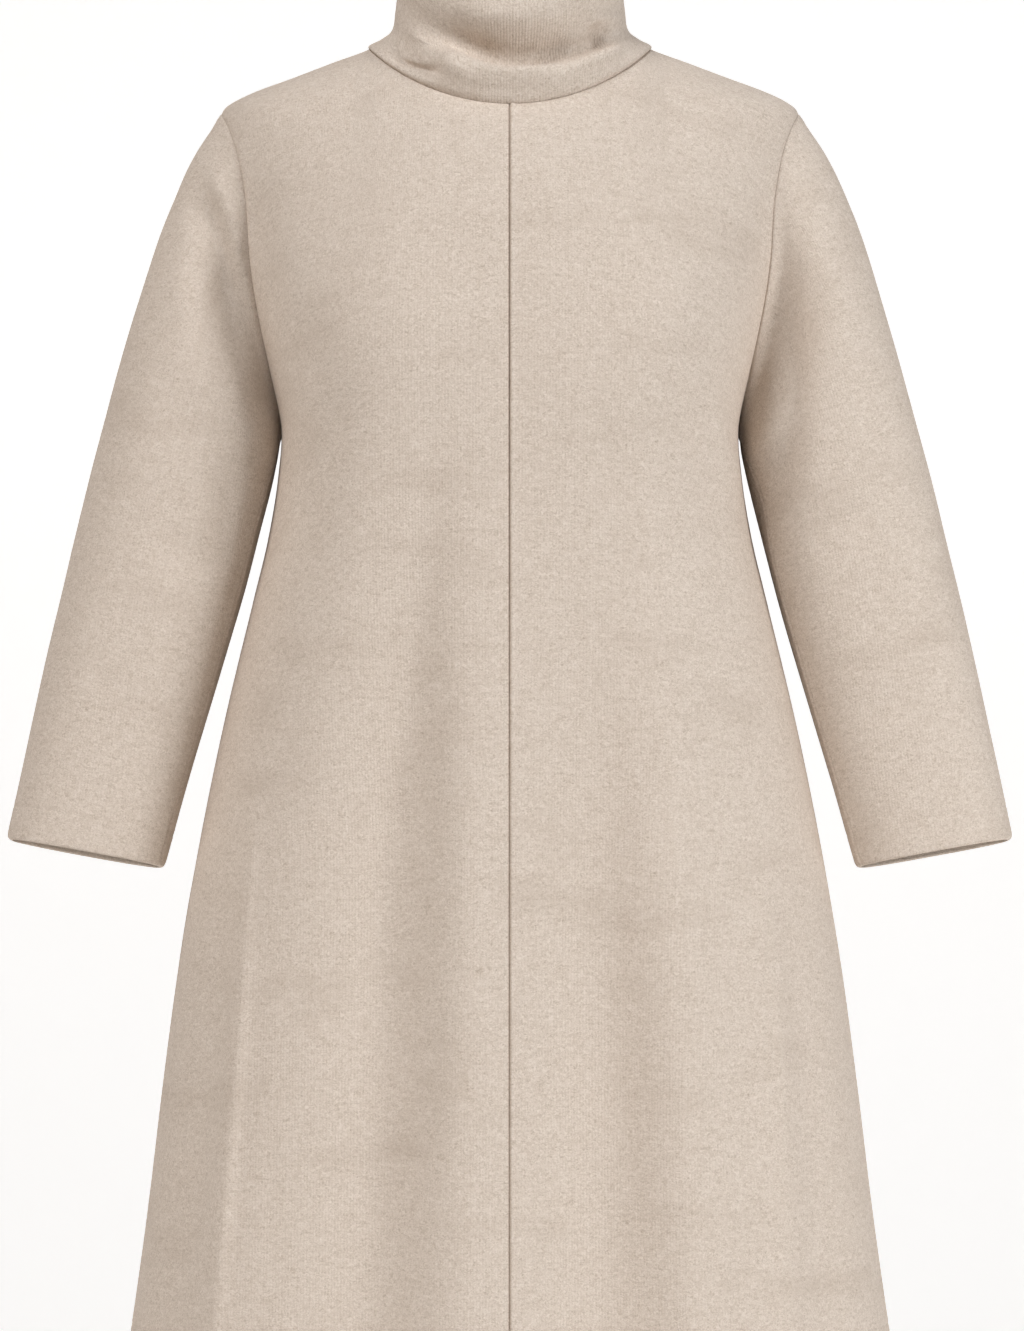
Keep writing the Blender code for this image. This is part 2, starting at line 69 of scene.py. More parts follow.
RING_COLUMNS = ("height", "half_width", "front_reach", "back_reach", "roundness")
BODY_RINGS = (
    (-0.9740, 0.2830, 0.1930, 0.1850, 2.90),
    (-0.8490, 0.2653, 0.1800, 0.1720, 2.90),
    (-0.7600, 0.2546, 0.1710, 0.1630, 2.90),
    (-0.6720, 0.2428, 0.1620, 0.1535, 2.85),
    (-0.5830, 0.2277, 0.1535, 0.1430, 2.80),
    (-0.4950, 0.2096, 0.1465, 0.1325, 2.80),
    (-0.4060, 0.1880, 0.1405, 0.1225, 2.80),
    (-0.3620, 0.1775, 0.1380, 0.1185, 2.80),
    (-0.3180, 0.1705, 0.1360, 0.1155, 2.85),
    (-0.2790, 0.1682, 0.1350, 0.1140, 2.90),
    (-0.2400, 0.1760, 0.1335, 0.1145, 2.90),
    (-0.2000, 0.1864, 0.1305, 0.1155, 2.70),
    (-0.1600, 0.1972, 0.1260, 0.1160, 2.45),
    (-0.1200, 0.2068, 0.1190, 0.1135, 2.20),
    (-0.0900, 0.2137, 0.1105, 0.1100, 2.10),
    (-0.0736, 0.2160, 0.1045, 0.1070, 2.05),
    (-0.0600, 0.2157, 0.0980, 0.1040, 2.05),
    (-0.0470, 0.2125, 0.0895, 0.1010, 2.05),
    (-0.0400, 0.2050, 0.0850, 0.0990, 2.05),
    (-0.0327, 0.1905, 0.0795, 0.0965, 2.05),
    (-0.0217, 0.1610, 0.0700, 0.0930, 2.05),
    (-0.0098, 0.1300, 0.0585, 0.0895, 2.05),
    (0.0000, 0.1040, 0.0470, 0.0860, 2.05),
    (0.0120, 0.0870, 0.0350, 0.0780, 2.05),
)

BUST = (0.098, -0.232, 0.062, 0.0080)  # across, height, spread and rise
ARMHOLE_REACH = 0.046
ARMHOLE_REACH_UP = 0.020

FLUTE_FADE = 0.22
FLUTE_COLUMNS = ("x_top", "x_hem", "start", "full", "width_top", "width_hem", "rise")
FRONT_FLUTES = (
    (-0.068, -0.104, -0.280, -0.600, 0.030, 0.042, -0.0150),
    (-0.024, -0.036, -0.280, -0.640, 0.028, 0.042, 0.0130),
    (0.052, 0.072, -0.300, -0.780, 0.030, 0.042, -0.0140),
    (0.098, 0.132, -0.300, -0.780, 0.030, 0.040, 0.0120),
    (-0.165, -0.212, -0.480, -0.860, 0.022, 0.024, 0.0060),
    (-0.190, -0.252, -0.520, -0.860, 0.014, 0.018, -0.0060),
)
BACK_FLUTES = (
    (-0.095, -0.125, -0.360, -0.760, 0.030, 0.040, 0.0130),
    (-0.030, -0.045, -0.360, -0.760, 0.028, 0.036, -0.0120),
    (0.040, 0.048, -0.400, -0.800, 0.030, 0.040, 0.0110),
    (0.105, 0.135, -0.380, -0.780, 0.030, 0.038, -0.0110),
    (0.150, 0.205, -0.460, -0.860, 0.022, 0.030, 0.0110),
    (-0.155, -0.210, -0.460, -0.860, 0.022, 0.030, -0.0070),
)

SLEEVE_COLUMNS = ("along", "outer_height", "inner_height", "half_depth", "forward")
SLEEVE_RINGS = (
    (0.00, -0.047, -0.279, 0.0600, 0.000),
    (0.12, -0.115, -0.290, 0.0615, 0.001),
    (0.25, -0.185, -0.306, 0.0615, 0.003),
    (0.40, -0.265, -0.337, 0.0600, 0.006),
    (0.55, -0.345, -0.389, 0.0565, 0.010),
    (0.70, -0.425, -0.458, 0.0520, 0.016),
    (0.85, -0.505, -0.532, 0.0460, 0.024),
    (1.00, -0.582, -0.603, 0.0400, 0.034),
)
PROFILE_COLUMNS = ("height", "reach")
SLEEVE_OUTER = (
    (-0.582, 0.3680),
    (-0.406, 0.3310),
    (-0.273, 0.2985),
    (-0.185, 0.2734),
    (-0.118, 0.2510),
    (-0.074, 0.2310),
    (-0.047, 0.2125),
)
SLEEVE_INNER = (
    (-0.603, 0.2535),
    (-0.539, 0.2357),
    (-0.495, 0.2226),
    (-0.450, 0.2095),
    (-0.406, 0.1970),
    (-0.362, 0.1857),
    (-0.318, 0.1752),
    (-0.279, 0.1682),
)
CUFF_TILT = 0.0078  # a little less than in the solids
CORNER_ROUND = 0.0028  # how far the corners of the flattened cuff turn in
CORNER_REACH = 0.006
CAP_SHARE = 0.32
UNDERARM_SHARE = 0.24
SLEEVE_ROUNDNESS = 2.4
SLEEVE_SEAM_AT_CUFF = math.radians(160)  # the underarm seam comes a little forward as it goes down

COLLAR_COLUMNS = ("up_front", "out_front", "up_side", "out_side", "up_back", "out_back")
COLLAR_LEVELS = (
    (0.0000, 0.0000, 0.0000, 0.0000, 0.0000, 0.0000),
    (0.0060, 0.0035, 0.0025, 0.0005, 0.0050, 0.0010),
    (0.0150, 0.0065, 0.0065, -0.0040, 0.0110, -0.0010),
    (0.0240, 0.0050, 0.0095, -0.0100, 0.0170, -0.0040),
    (0.0290, -0.0020, 0.0125, -0.0150, 0.0230, -0.0070),
    (0.0310, -0.0100, 0.0175, -0.0175, 0.0290, -0.0090),
    (0.0370, -0.0160, 0.0250, -0.0185, 0.0350, -0.0100),
    (0.0460, -0.0155, 0.0330, -0.0195, 0.0410, -0.0108),
    (0.0550, -0.0105, 0.0410, -0.0205, 0.0470, -0.0112),
    (0.0640, -0.0050, 0.0480, -0.0212, 0.0530, -0.0115),
    (0.0730, -0.0020, 0.0550, -0.0218, 0.0590, -0.0117),
    (0.0810, -0.0022, 0.0620, -0.0222, 0.0640, -0.0118),
    (0.0880, -0.0045, 0.0680, -0.0225, 0.0670, -0.0120),
)

# Grid of the fine cloth
EDGE_STEPS = (  # places beside a seam or a fold
    0, 0.00002, 0.00006, 0.00012, 0.00024, 0.0004, 0.0008, 0.0013, 0.0019, 0.0027, 0.0038, 0.0053, 0.0075,
)
BAND_STEPS = (-0.0045, -0.0028, -0.0018, -0.001, 0, 0.001, 0.0018, 0.0028, 0.0045)  # beside stitches
PANEL_SPAN = 0.25  # usual lengths of the cloth, for spacing its rows and columns
UPPER_SPAN = 0.27
LOWER_SPAN = 0.683
SLEEVE_SPAN = 0.3
COLLAR_SPAN = 0.12
PANEL_COLUMNS = 124
BACK_COLUMNS = 74
LOWER_ROWS = 118
UPPER_ROWS = 66
SLEEVE_AROUND = 136
SLEEVE_ROWS = 150
COLLAR_AROUND = 288
COLLAR_ROWS = 92
FINE_STEPS = 400
BEND_WEIGHT = 0.05
CORNER_SHARE = 0.12  # how far to either side the bend below a neck corner is rounded off
CORNER_PASSES = 80
SEAM_TURN = 0.008  # how far from a seam the cloth turns to lie square to it
NECK_TURN = 0.006
COLLAR_TURN = 0.004
CREASE_CALM = 0.012  # how far from a seam the creases and the waves begin
WAVE_CALM = 0.02
FOLD_RADIUS = 0.0016
COLLAR_FOLD_RADIUS = 0.0015
BAND_EDGE = 0.0012

# Seams: each side dips into the stitching and rolls up beside it
SEAM_COLUMNS = ("dip", "dip_width", "roll", "roll_at", "roll_width")
SEAMS = {
    "centre_plain": (0.0012, 0.0009, 0.0000, 0.003, 0.003),
    "centre_ridge": (0.0010, 0.0005, 0.0011, 0.0017, 0.0015),
    "side": (0.0008, 0.0011, 0.0006, 0.0030, 0.0018),
    "armhole": (0.0005, 0.0010, 0.0004, 0.0050, 0.0040),
    "shoulder": (0.0008, 0.0013, 0.0003, 0.0035, 0.0025),
    "neck": (0.0006, 0.0010, 0.0003, 0.0050, 0.0040),
    "collar": (0.0008, 0.0010, -0.0010, 0.0110, 0.0060),
    "stitch_row": (0.0003, 0.0010, 0.0001, 0.0032, 0.0020),
}

# Creases, each a trough (-) or ridge (+) along a path of (x, z) seen from the front or the back
CREASE_COLUMNS = ("path", "width_left", "width_right", "rise")
FRONT_CREASES = (
    (((-0.194, -0.098), (-0.184, -0.135), (-0.175, -0.18), (-0.17, -0.215)), 0.009, 0.014, -0.003),
    (((-0.166, -0.12), (-0.158, -0.17), (-0.15, -0.215)), 0.012, 0.016, 0.0014),
    (((-0.11, -0.24), (-0.122, -0.275), (-0.143, -0.336), (-0.157, -0.408)), 0.012, 0.01, -0.0014),
    (((-0.096, -0.23), (-0.107, -0.336), (-0.113, -0.422), (-0.104, -0.515)), 0.02, 0.02, 0.0014),
    (((0.138, -0.225), (0.146, -0.263), (0.157, -0.305), (0.164, -0.345)), 0.007, 0.008, 0.0028),
    (((0.122, -0.235), (0.13, -0.268), (0.143, -0.336), (0.157, -0.408)), 0.01, 0.008, -0.0024),
    (((0.196, -0.1), (0.186, -0.14), (0.178, -0.185)), 0.01, 0.008, -0.0014),
    (((0.15, -0.07), (0.172, -0.066), (0.192, -0.058)), 0.008, 0.008, -0.0008),
    (((-0.17, -0.44), (-0.182, -0.551), (-0.19, -0.665), (-0.197, -0.765), (-0.203, -0.836),
      (-0.212, -0.96), (-0.222, -1.16)), 0.01, 0.0045, 0.0024),
    (((-0.164, -0.52), (-0.175, -0.665), (-0.186, -0.765), (-0.192, -0.836), (-0.2, -0.96),
      (-0.21, -1.16)), 0.007, 0.011, -0.0014),
    (((-0.186, -0.52), (-0.206, -0.66), (-0.214, -0.76), (-0.226, -0.96), (-0.236, -1.16)),
     0.016, 0.012, -0.0026),
    (((0.176, -0.48), (0.19, -0.72), (0.2, -0.96), (0.206, -1.16)), 0.02, 0.01, 0.0034),
    (((0.196, -0.54), (0.216, -0.78), (0.228, -0.96), (0.236, -1.16)), 0.012, 0.014, -0.0038),
    (((-0.052, -0.24), (-0.058, -0.33), (-0.068, -0.45), (-0.074, -0.6)), 0.016, 0.016, -0.0026),
    (((0.066, -0.25), (0.074, -0.34), (0.082, -0.45)), 0.018, 0.018, -0.0018),
    (((-0.11, -0.2), (-0.06, -0.212), (-0.02, -0.206)), 0.03, 0.03, 0.0022),
    (((0.06, -0.196), (0.11, -0.202), (0.15, -0.2)), 0.03, 0.03, 0.0022),
)
BACK_CREASES = (
    (((-0.18, -0.11), (-0.168, -0.16), (-0.158, -0.22)), 0.012, 0.01, -0.003),
    (((0.182, -0.105), (0.172, -0.15), (0.16, -0.205)), 0.01, 0.013, -0.0026),
    (((-0.12, -0.29), (-0.07, -0.33), (-0.01, -0.345)), 0.012, 0.016, -0.0022),
    (((0.118, -0.31), (0.075, -0.35), (0.025, -0.372)), 0.014, 0.011, -0.0018),
    (((-0.1, -0.33), (-0.05, -0.372), (0.01, -0.388)), 0.014, 0.014, 0.0014),
    (((-0.06, -0.03), (0.0, -0.04), (0.055, -0.031)), 0.007, 0.01, -0.0012),
)
LEFT_SLEEVE_CREASES = (
    (((0.186, -0.08), (0.196, -0.165), (0.203, -0.246), (0.198, -0.29), (0.188, -0.33), (0.178, -0.39)),
     0.02, 0.018, -0.01),
    (((0.214, -0.088), (0.228, -0.14), (0.24, -0.2), (0.248, -0.26)), 0.012, 0.018, 0.003),
    (((0.262, -0.33), (0.24, -0.352), (0.212, -0.366)), 0.01, 0.014, -0.0016),
    (((0.3, -0.47), (0.27, -0.486), (0.24, -0.49)), 0.012, 0.01, -0.0012),
)
RIGHT_SLEEVE_CREASES = (
    (((-0.224, -0.08), (-0.21, -0.112), (-0.199, -0.15), (-0.192, -0.2)), 0.007, 0.008, 0.0034),
    (((-0.236, -0.09), (-0.222, -0.118), (-0.211, -0.146), (-0.203, -0.19), (-0.2, -0.26)),
     0.016, 0.009, -0.0085),
    (((-0.246, -0.15), (-0.234, -0.2), (-0.228, -0.27)), 0.016, 0.014, 0.0022),
    (((-0.2, -0.29), (-0.208, -0.35), (-0.216, -0.41)), 0.016, 0.01, -0.004),
    (((-0.262, -0.352), (-0.236, -0.376), (-0.212, -0.384)), 0.012, 0.013, -0.0016),
    (((-0.318, -0.452), (-0.29, -0.47), (-0.262, -0.474)), 0.012, 0.01, -0.0012),
)
SLEEVE_BACK_CREASES = (
    (((0.206, -0.105), (0.212, -0.16), (0.208, -0.215)), 0.012, 0.01, -0.003),
    (((0.292, -0.318), (0.262, -0.345), (0.232, -0.352)), 0.01, 0.014, -0.0034),
    (((0.3, -0.35), (0.27, -0.372), (0.242, -0.376)), 0.011, 0.012, 0.0026),
    (((0.303, -0.382), (0.276, -0.402), (0.25, -0.404)), 0.01, 0.012, -0.0026),
)
COLLAR_CREASES = (
    (((-0.085, 0.008), (-0.079, -0.01), (-0.061, -0.019), (-0.043, -0.025)), 0.009, 0.008, -0.0098),
    (((-0.075, 0.024), (-0.067, 0.003), (-0.055, -0.012), (-0.037, -0.022), (-0.024, -0.029)),
     0.006, 0.006, 0.0056),
    (((-0.065, 0.014), (-0.055, 0.0), (-0.035, -0.015), (-0.009, -0.024), (0.022, -0.022), (0.052, -0.01)),
     0.005, 0.005, 0.004),
    (((-0.056, 0.012), (-0.029, -0.005), (0.0, -0.014), (0.036, -0.008), (0.05, 0.002)),
     0.008, 0.008, -0.0078),
    (((-0.05, 0.026), (-0.026, 0.018), (0.0, 0.014), (0.03, 0.017), (0.048, 0.024)), 0.009, 0.009, 0.003),
    (((0.087, -0.001), (0.067, -0.013), (0.036, -0.026)), 0.005, 0.005, 0.004),
    (((0.074, 0.008), (0.058, -0.002), (0.04, -0.01)), 0.005, 0.005, -0.0042),
    (((0.06, 0.014), (0.063, 0.005), (0.058, -0.006)), 0.0065, 0.0065, -0.004),
    (((0.084, 0.014), (0.07, 0.018), (0.052, 0.012)), 0.006, 0.006, 0.002),
)
COLLAR_BACK_CREASES = (
    (((-0.07, 0.036), (-0.03, 0.028), (0.01, 0.03)), 0.006, 0.007, -0.0026),
    (((-0.01, 0.044), (0.035, 0.04), (0.072, 0.046)), 0.006, 0.007, -0.0024),
    (((-0.04, 0.056), (0.0, 0.052), (0.038, 0.057)), 0.007, 0.006, 0.0016),
)

# Soft unevenness of the hanging cloth: size of the waves and their height
WAVES = ((0.070, 0.0007), (0.028, 0.00022))
WAVE_LATTICE = 97
WAVE_SEEDS = {
    "front_left": 11, "front_right": 11, "back": 23, "sleeve_left": 37, "sleeve_right": 53, "collar": 71,
}

STITCH_PITCH = 0.0032
STITCH_LENGTH = 0.0021
STITCH_WIDTH = 0.00055

# Heather of the jersey: grains to the metre of cloth, then what they mix over the ground colour
NOISE_COLUMNS = ("across", "up", "detail", "seed", "curl")
NOISES = {
    "speckle": (400, 500, 2, 3, 1.6),
    "streak": (70, 420, 3, 9, 0),
    "cloud": (9, 22, 2, 17, 0),
    "nap": (420, 470, 2, 29, 1.2),
    "curls": (280, 330, 1, 41, 1.5),
}
LAYER_COLUMNS = ("noise", "none_at", "full_at", "share", "colour")
LAYERS = (
    ("speckle", 0.50, 0.68, 0.85, "Pale fibre"),
    ("speckle", 0.47, 0.26, 0.75, "Dark fibre"),
    ("streak", 0.52, 0.75, 0.35, "Pale fibre"),
    ("streak", 0.44, 0.25, 0.25, "Dark fibre"),
    ("fibre", 0.045, 0.0, 0.85, "Pale fibre"),
    ("cloud", 0.45, 0.25, 0.22, "Dark fibre"),
)
COLOURS = {
    "Ground": (0.640, 0.5425, 0.456, 1),
    "Pale fibre": (0.790, 0.698, 0.612, 1),
    "Dark fibre": (0.430, 0.338, 0.262, 1),
}
# Painted shade: near every seam the cloth colour is mixed towards this dark brown, standing in for the
# shade down in the seam groove
PAINTED_SEAM_SHADE = (0.260, 0.200, 0.150, 1)
PAINTED_SEAM_SHADE_REACH = 0.0007
WALE_PITCH = 0.0022
BODY_WALE_DEPTH = 0.10
COLLAR_WALE_DEPTH = 0.18

# Camera, light and stage, in metres from the neck and watts
CAMERA_PLACE = (0.0015, -4.0, -0.4545)
CAMERA_LENS = 146.5
LIGHT_AIM = (0, 0, -0.45)
LIGHTS = (  # name, place, size, power and colour
    ("key", (3.4, -2.5, 0.9), 1.6, 113, (0.98, 0.985, 1.0)),
    ("top", (-1.6, -1.9, 3.1), 2.0, 126, (0.98, 0.985, 1.0)),
    ("fill", (-3.7, -1.8, 0.7), 2.0, 13, (1.0, 0.74, 0.50)),
)
SKY_LIGHT = 0.01
SKY_SEEN = 0.94  # added to the sky where the camera sees it
FLOOR_HEIGHT = -1.25
FLOOR_FRONT = -2.5
STAGE_DEPTH = 3.2
STAGE_HEIGHT = 2.6
STAGE_RADIUS = 1.2
STAGE_HALF_WIDTH = 3.0
SWEEP_STEPS = 12


def through(table, columns, column, at):
    """Smooth curve through one named column of a table, read at values of its first column."""
    rows = np.array(sorted(table), float)
    x, y = rows[:, 0], rows[:, columns.index(column)]
    slope = np.gradient(y, x)
    at = np.clip(np.asarray(at, float), x[0], x[-1])
    i = np.clip(np.searchsorted(x, at) - 1, 0, len(x) - 2)
    step = x[i + 1] - x[i]
    s = (at - x[i]) / step
    rise = (2 * s**3 - 3 * s**2 + 1) * y[i] + (3 * s**2 - 2 * s**3) * y[i + 1]
    lean = (s**3 - 2 * s**2 + s) * slope[i] + (s**3 - s**2) * slope[i + 1]
    return rise + lean * step


def ease(value):
    """0 up to 1, with a soft start and end."""
    s = np.clip(value, 0, 1)
    return s * s * (3 - 2 * s)


def unit(vectors):
    """The vectors at length 1."""
    return vectors / np.maximum(np.linalg.norm(vectors, axis=-1, keepdims=True), 1e-9)


def points(x, y, z):
    """Points or vectors from their three parts."""
    return np.stack(np.broadcast_arrays(x, y, z), axis=-1).astype(float)


def placed(name, data):
    """A new object in the scene."""
    thing = bpy.data.objects.new(name, data)
    bpy.context.scene.collection.objects.link(thing)
    return thing


# The surfaces of the cut


def ring_words(height):
    """Half width, front reach, back reach and roundness of the body at this height."""
    return [through(BODY_RINGS, RING_COLUMNS, word, height) for word in RING_COLUMNS[1:]]


def bust_rise(x, height):
    """How far the bust darts of the cut fill the front."""
    across, level, spread, rise = BUST
    reach = ((np.abs(x) - across) ** 2 + (0.8 * (height - level)) ** 2) / spread**2
    return rise * np.exp(-reach)


def plain_ring(angle, height):
    """Body surface without flutes. Angle 0 is the centre front, and grows towards +X."""
    half, front, back, roundness = ring_words(height)
    s, c = np.sin(angle), np.cos(angle)
    x = half * np.sign(s) * np.abs(s) ** (2 / roundness)
    reach = np.where(c > 0, front + bust_rise(x, height), back)
    return points(x, -np.sign(c) * np.abs(c) ** (2 / roundness) * reach, height)


def depth_at(x, height, face):
    """The same surface read by width and height, for the chest (face -1) and the back (face 1)."""
    half, front, back, roundness = ring_words(height)
    share = np.clip(np.abs(x) / half, 0, 1)
    round_off = (1 - share**roundness) ** (1 / roundness)
    reach = front if face < 0 else back
    full = bust_rise(x, height) * round_off if face < 0 else 0
    return face * (reach * round_off + full)


def flute_rise(x, height, flutes):
    """How far the flutes push the cloth out at this place."""
    total = np.zeros(np.broadcast(x, height).shape)
    for row in flutes:
        flute = dict(zip(FLUTE_COLUMNS, row))
        down = ease((flute["start"] - height) / (flute["start"] - flute["full"]))
        along = np.clip((flute["start"] - height) / (flute["start"] - HEM_HEIGHT), 0, 1)
        middle = flute["x_top"] + (flute["x_hem"] - flute["x_top"]) * along
        width = flute["width_top"] + (flute["width_hem"] - flute["width_top"]) * along
        total += flute["rise"] * down * np.exp(-(((x - middle) / width) ** 2))
    return total


def skirt(angle, height):
    """Body surface with its flutes, for heights from the hem to the underarm."""
    angle, height = np.broadcast_arrays(np.asarray(angle, float), np.asarray(height, float))
    ring = plain_ring(angle, height)
    nudge = 1e-3
    around = plain_ring(angle + nudge, height) - plain_ring(angle - nudge, height)
    out = unit(points(around[..., 1], -around[..., 0], 0))
    x = ring[..., 0]
    in_front = np.cos(angle) > 0
    rise = np.where(in_front, flute_rise(x, height, FRONT_FLUTES), flute_rise(x, height, BACK_FLUTES))
    fade = ease(np.abs(np.cos(angle)) / FLUTE_FADE)
    return ring + out * (rise * fade)[..., None]


def side_seam(height):
    """Angle of the side seam, which leaves the widest point as it goes down."""
    down = ease((UNDERARM_HEIGHT - height) / SEAM_SWING)
    return SEAM_AT_UNDERARM + (SEAM_AT_HEM - SEAM_AT_UNDERARM) * down


def neckline(turn):
    """Collar seam. Turn 0 is the centre front, a quarter turn the shoulder at +X."""
    s, c = np.sin(turn), np.cos(turn)
    x = NECK_HALF_WIDTH * s
    z = -FRONT_NECK_DROP * np.clip(c, 0, 1) ** NECK_DROP_POWER + BACK_NECK_RISE * np.clip(-c, 0, 1) ** 2
    y = np.where(c > 0, depth_at(x, z, -1), depth_at(x, z, 1))
    return points(x, y, z)


def neckline_out(turn):
    """Way out of the cloth at the collar seam, shared by the collar and the body."""
    return unit(points(0.8 * np.sin(turn), -0.8 * np.cos(turn), 0.6))


def shoulder(share):
    """Shoulder seam at +X, from the neck (0) to the tip (1)."""
    height = np.linspace(0, SHOULDER_TIP_HEIGHT, 200)
    width = through(BODY_RINGS, RING_COLUMNS, "half_width", height)
    across = width[0] + (width[-1] - width[0]) * np.asarray(share, float)
    return points(across, 0, np.interp(across, width, height))


def shoulder_out(share):
    """Way out of the cloth at the shoulder seam, which starts as the collar seam's."""
    nudge = 0.01
    run = shoulder(np.clip(share + nudge, 0, 1)) - shoulder(np.clip(share - nudge, 0, 1))
    over = unit(points(-run[..., 2], 0, run[..., 0]))
    blend = ease(np.asarray(share) / 0.3)[..., None]
    return unit(neckline_out(np.array(math.pi / 2)) * (1 - blend) + over * blend)


def armhole(turn):
    """Armhole seam at +X. Turn 0 is the shoulder tip, a quarter turn the front, a half the underarm."""
    s, c = np.sin(turn), np.cos(turn)
    z = (SHOULDER_TIP_HEIGHT + UNDERARM_HEIGHT) / 2 + (SHOULDER_TIP_HEIGHT - UNDERARM_HEIGHT) / 2 * c
    half, front, back, roundness = ring_words(z)
    share = np.abs(s) * (ARMHOLE_REACH + ARMHOLE_REACH_UP * c) / np.where(s > 0, front, back)
    x = half * (1 - share**roundness) ** (1 / roundness)
    y = np.where(s > 0, depth_at(x, z, -1), depth_at(x, z, 1))
    return points(x, y, z)


def armhole_out(turn, lean):
    """Way out of the cloth at the armhole. Under the arm the body (lean 1) and the sleeve
    (lean -1) part from each other; everywhere else they share it."""
    s, c = np.sin(turn), np.cos(turn)
    x = 0.55 * np.clip(c, 0, 1) + 0.40 * s**2 + 0.6 * lean * np.clip(-c, 0, 1) ** 2
    return unit(points(x, -s, c))


def top_edge(share, face):
    """Neckline and then shoulder seam, from the centre (0) to the tip (1), with the ways out."""
    turn = np.clip(share / NECK_SHARE, 0, 1) * math.pi / 2
    turn = turn if face < 0 else math.pi - turn
    along = np.clip((share - NECK_SHARE) / (1 - NECK_SHARE), 0, 1)
    on_neck = (share <= NECK_SHARE)[..., None]
    edge = np.where(on_neck, neckline(turn), shoulder(along))
    out = np.where(on_neck, neckline_out(turn), shoulder_out(along))
    return edge, out


def chest_columns(share, face, places):
    """Columns of cloth at +X from the underarm ring to the top edge, and their armhole turns.

    The columns are laid out flat in width and height between the four edges, then given the
    depth of the body, and their points gathered where the cloth bends.
    """
    rise = np.linspace(0, 1, FINE_STEPS + 1)[:, None]
    share = np.asarray(share, float)[None, :]
    ring = plain_ring(share * SEAM_AT_UNDERARM, np.full(share.shape, UNDERARM_HEIGHT))
    top, _ = top_edge(share, face)
    turn = math.pi * (1 - rise)
    outer = armhole(-face * turn)
    middle = top_edge(np.zeros((1, 1)), face)[0]
    tip = shoulder(np.ones((1, 1)))
    flat = []
    for axis in (0, 2):
        low, high = ring[..., axis], top[..., axis]
        side = outer[..., axis]
        start = 0 if axis == 0 else UNDERARM_HEIGHT
        centre = start + (middle[..., axis] - start) * rise
        corners = [centre[:1], side[:1], centre[-1:], tip[..., axis]]
        blend = (1 - rise) * low + rise * high + (1 - share) * centre + share * side
        blend = blend - (1 - share) * (1 - rise) * corners[0] - share * (1 - rise) * corners[1]
        flat.append(blend - (1 - share) * rise * corners[2] - share * rise * corners[3])
        round_corner(flat[-1], share, rise)
    cloth = points(flat[0], depth_at(flat[0], flat[1], face), flat[1])
    return gathered(cloth, turn, places)


def round_corner(layout, share, rise):
    """Rounds off the bend that the corner between neck and shoulder would send down the columns."""
    beside = np.exp(-(((share - NECK_SHARE) / CORNER_SHARE) ** 2))
    weight = (beside * ease((1 - rise) / 0.06) * ease(rise / 0.3))[:, 1:-1]
    for _ in range(CORNER_PASSES):
        layout[:, 1:-1] += weight * ((layout[:, :-2] + layout[:, 2:]) / 2 - layout[:, 1:-1])


def gathered(cloth, turn, places):
    """Reads each fine column at the given places (0 to 1), which lie closer where it bends."""
    step = np.diff(cloth, axis=0)
    length = np.linalg.norm(step, axis=-1)
    way = step / length[..., None]
    bend = np.arccos(np.clip((way[1:] * way[:-1]).sum(axis=-1), -1, 1))
    bend = np.concatenate([bend[:1], (bend[1:] + bend[:-1]) / 2, bend[-1:]])
    start = np.zeros((1, cloth.shape[1]))
    weight = np.concatenate([start, np.cumsum(length + BEND_WEIGHT * bend, axis=0)])
    picked = np.zeros((len(places), cloth.shape[1], 3))
    turns = np.zeros((len(places), cloth.shape[1]))
    for column in range(cloth.shape[1]):
        at = places * weight[-1, column]
        turns[:, column] = np.interp(at, weight[:, column], turn[:, 0])
        for axis in range(3):
            picked[:, column, axis] = np.interp(at, weight[:, column], cloth[:, column, axis])
    return picked, turns


def skirt_heights(angle, level):
    """Heights of the rows from the hem to just below the underarm, at each angle."""
    hang = (UNDERARM_HEIGHT - level) / (UNDERARM_HEIGHT - HEM_HEIGHT)
    return level + FRONT_HEM_LIFT * np.clip(np.cos(angle), 0, 1) ** 1.5 * hang**2


def plain_sleeve(turn, along):
    """Sleeve at +X as a plain tube. Turn goes round from its outer edge by the front."""
    level = {word: through(SLEEVE_RINGS, SLEEVE_COLUMNS, word, along) for word in SLEEVE_COLUMNS[1:]}
    outer = through(SLEEVE_OUTER, PROFILE_COLUMNS, "reach", level["outer_height"])
    inner = through(SLEEVE_INNER, PROFILE_COLUMNS, "reach", level["inner_height"])
    s, c = (np.sign(v) * np.abs(v) ** (2 / SLEEVE_ROUNDNESS) for v in (np.sin(turn), np.cos(turn)))
    x = (outer + inner) / 2 + (outer - inner) / 2 * c
    z = (level["outer_height"] + level["inner_height"]) / 2
    z = z + (level["outer_height"] - level["inner_height"]) / 2 * c + CUFF_TILT / 2 * s * along**3
    return points(x, -level["forward"] - level["half_depth"] * s, z)


def sleeve_surface(turn, along):
    """The sleeve, which takes the line of the armhole at its top."""
    share = UNDERARM_SHARE + (CAP_SHARE - UNDERARM_SHARE) * (1 + np.cos(turn)) / 2
    settle = (1 - ease(along / share))[..., None]
    return plain_sleeve(turn, along) + (armhole(turn) - plain_sleeve(turn, 0 * along)) * settle


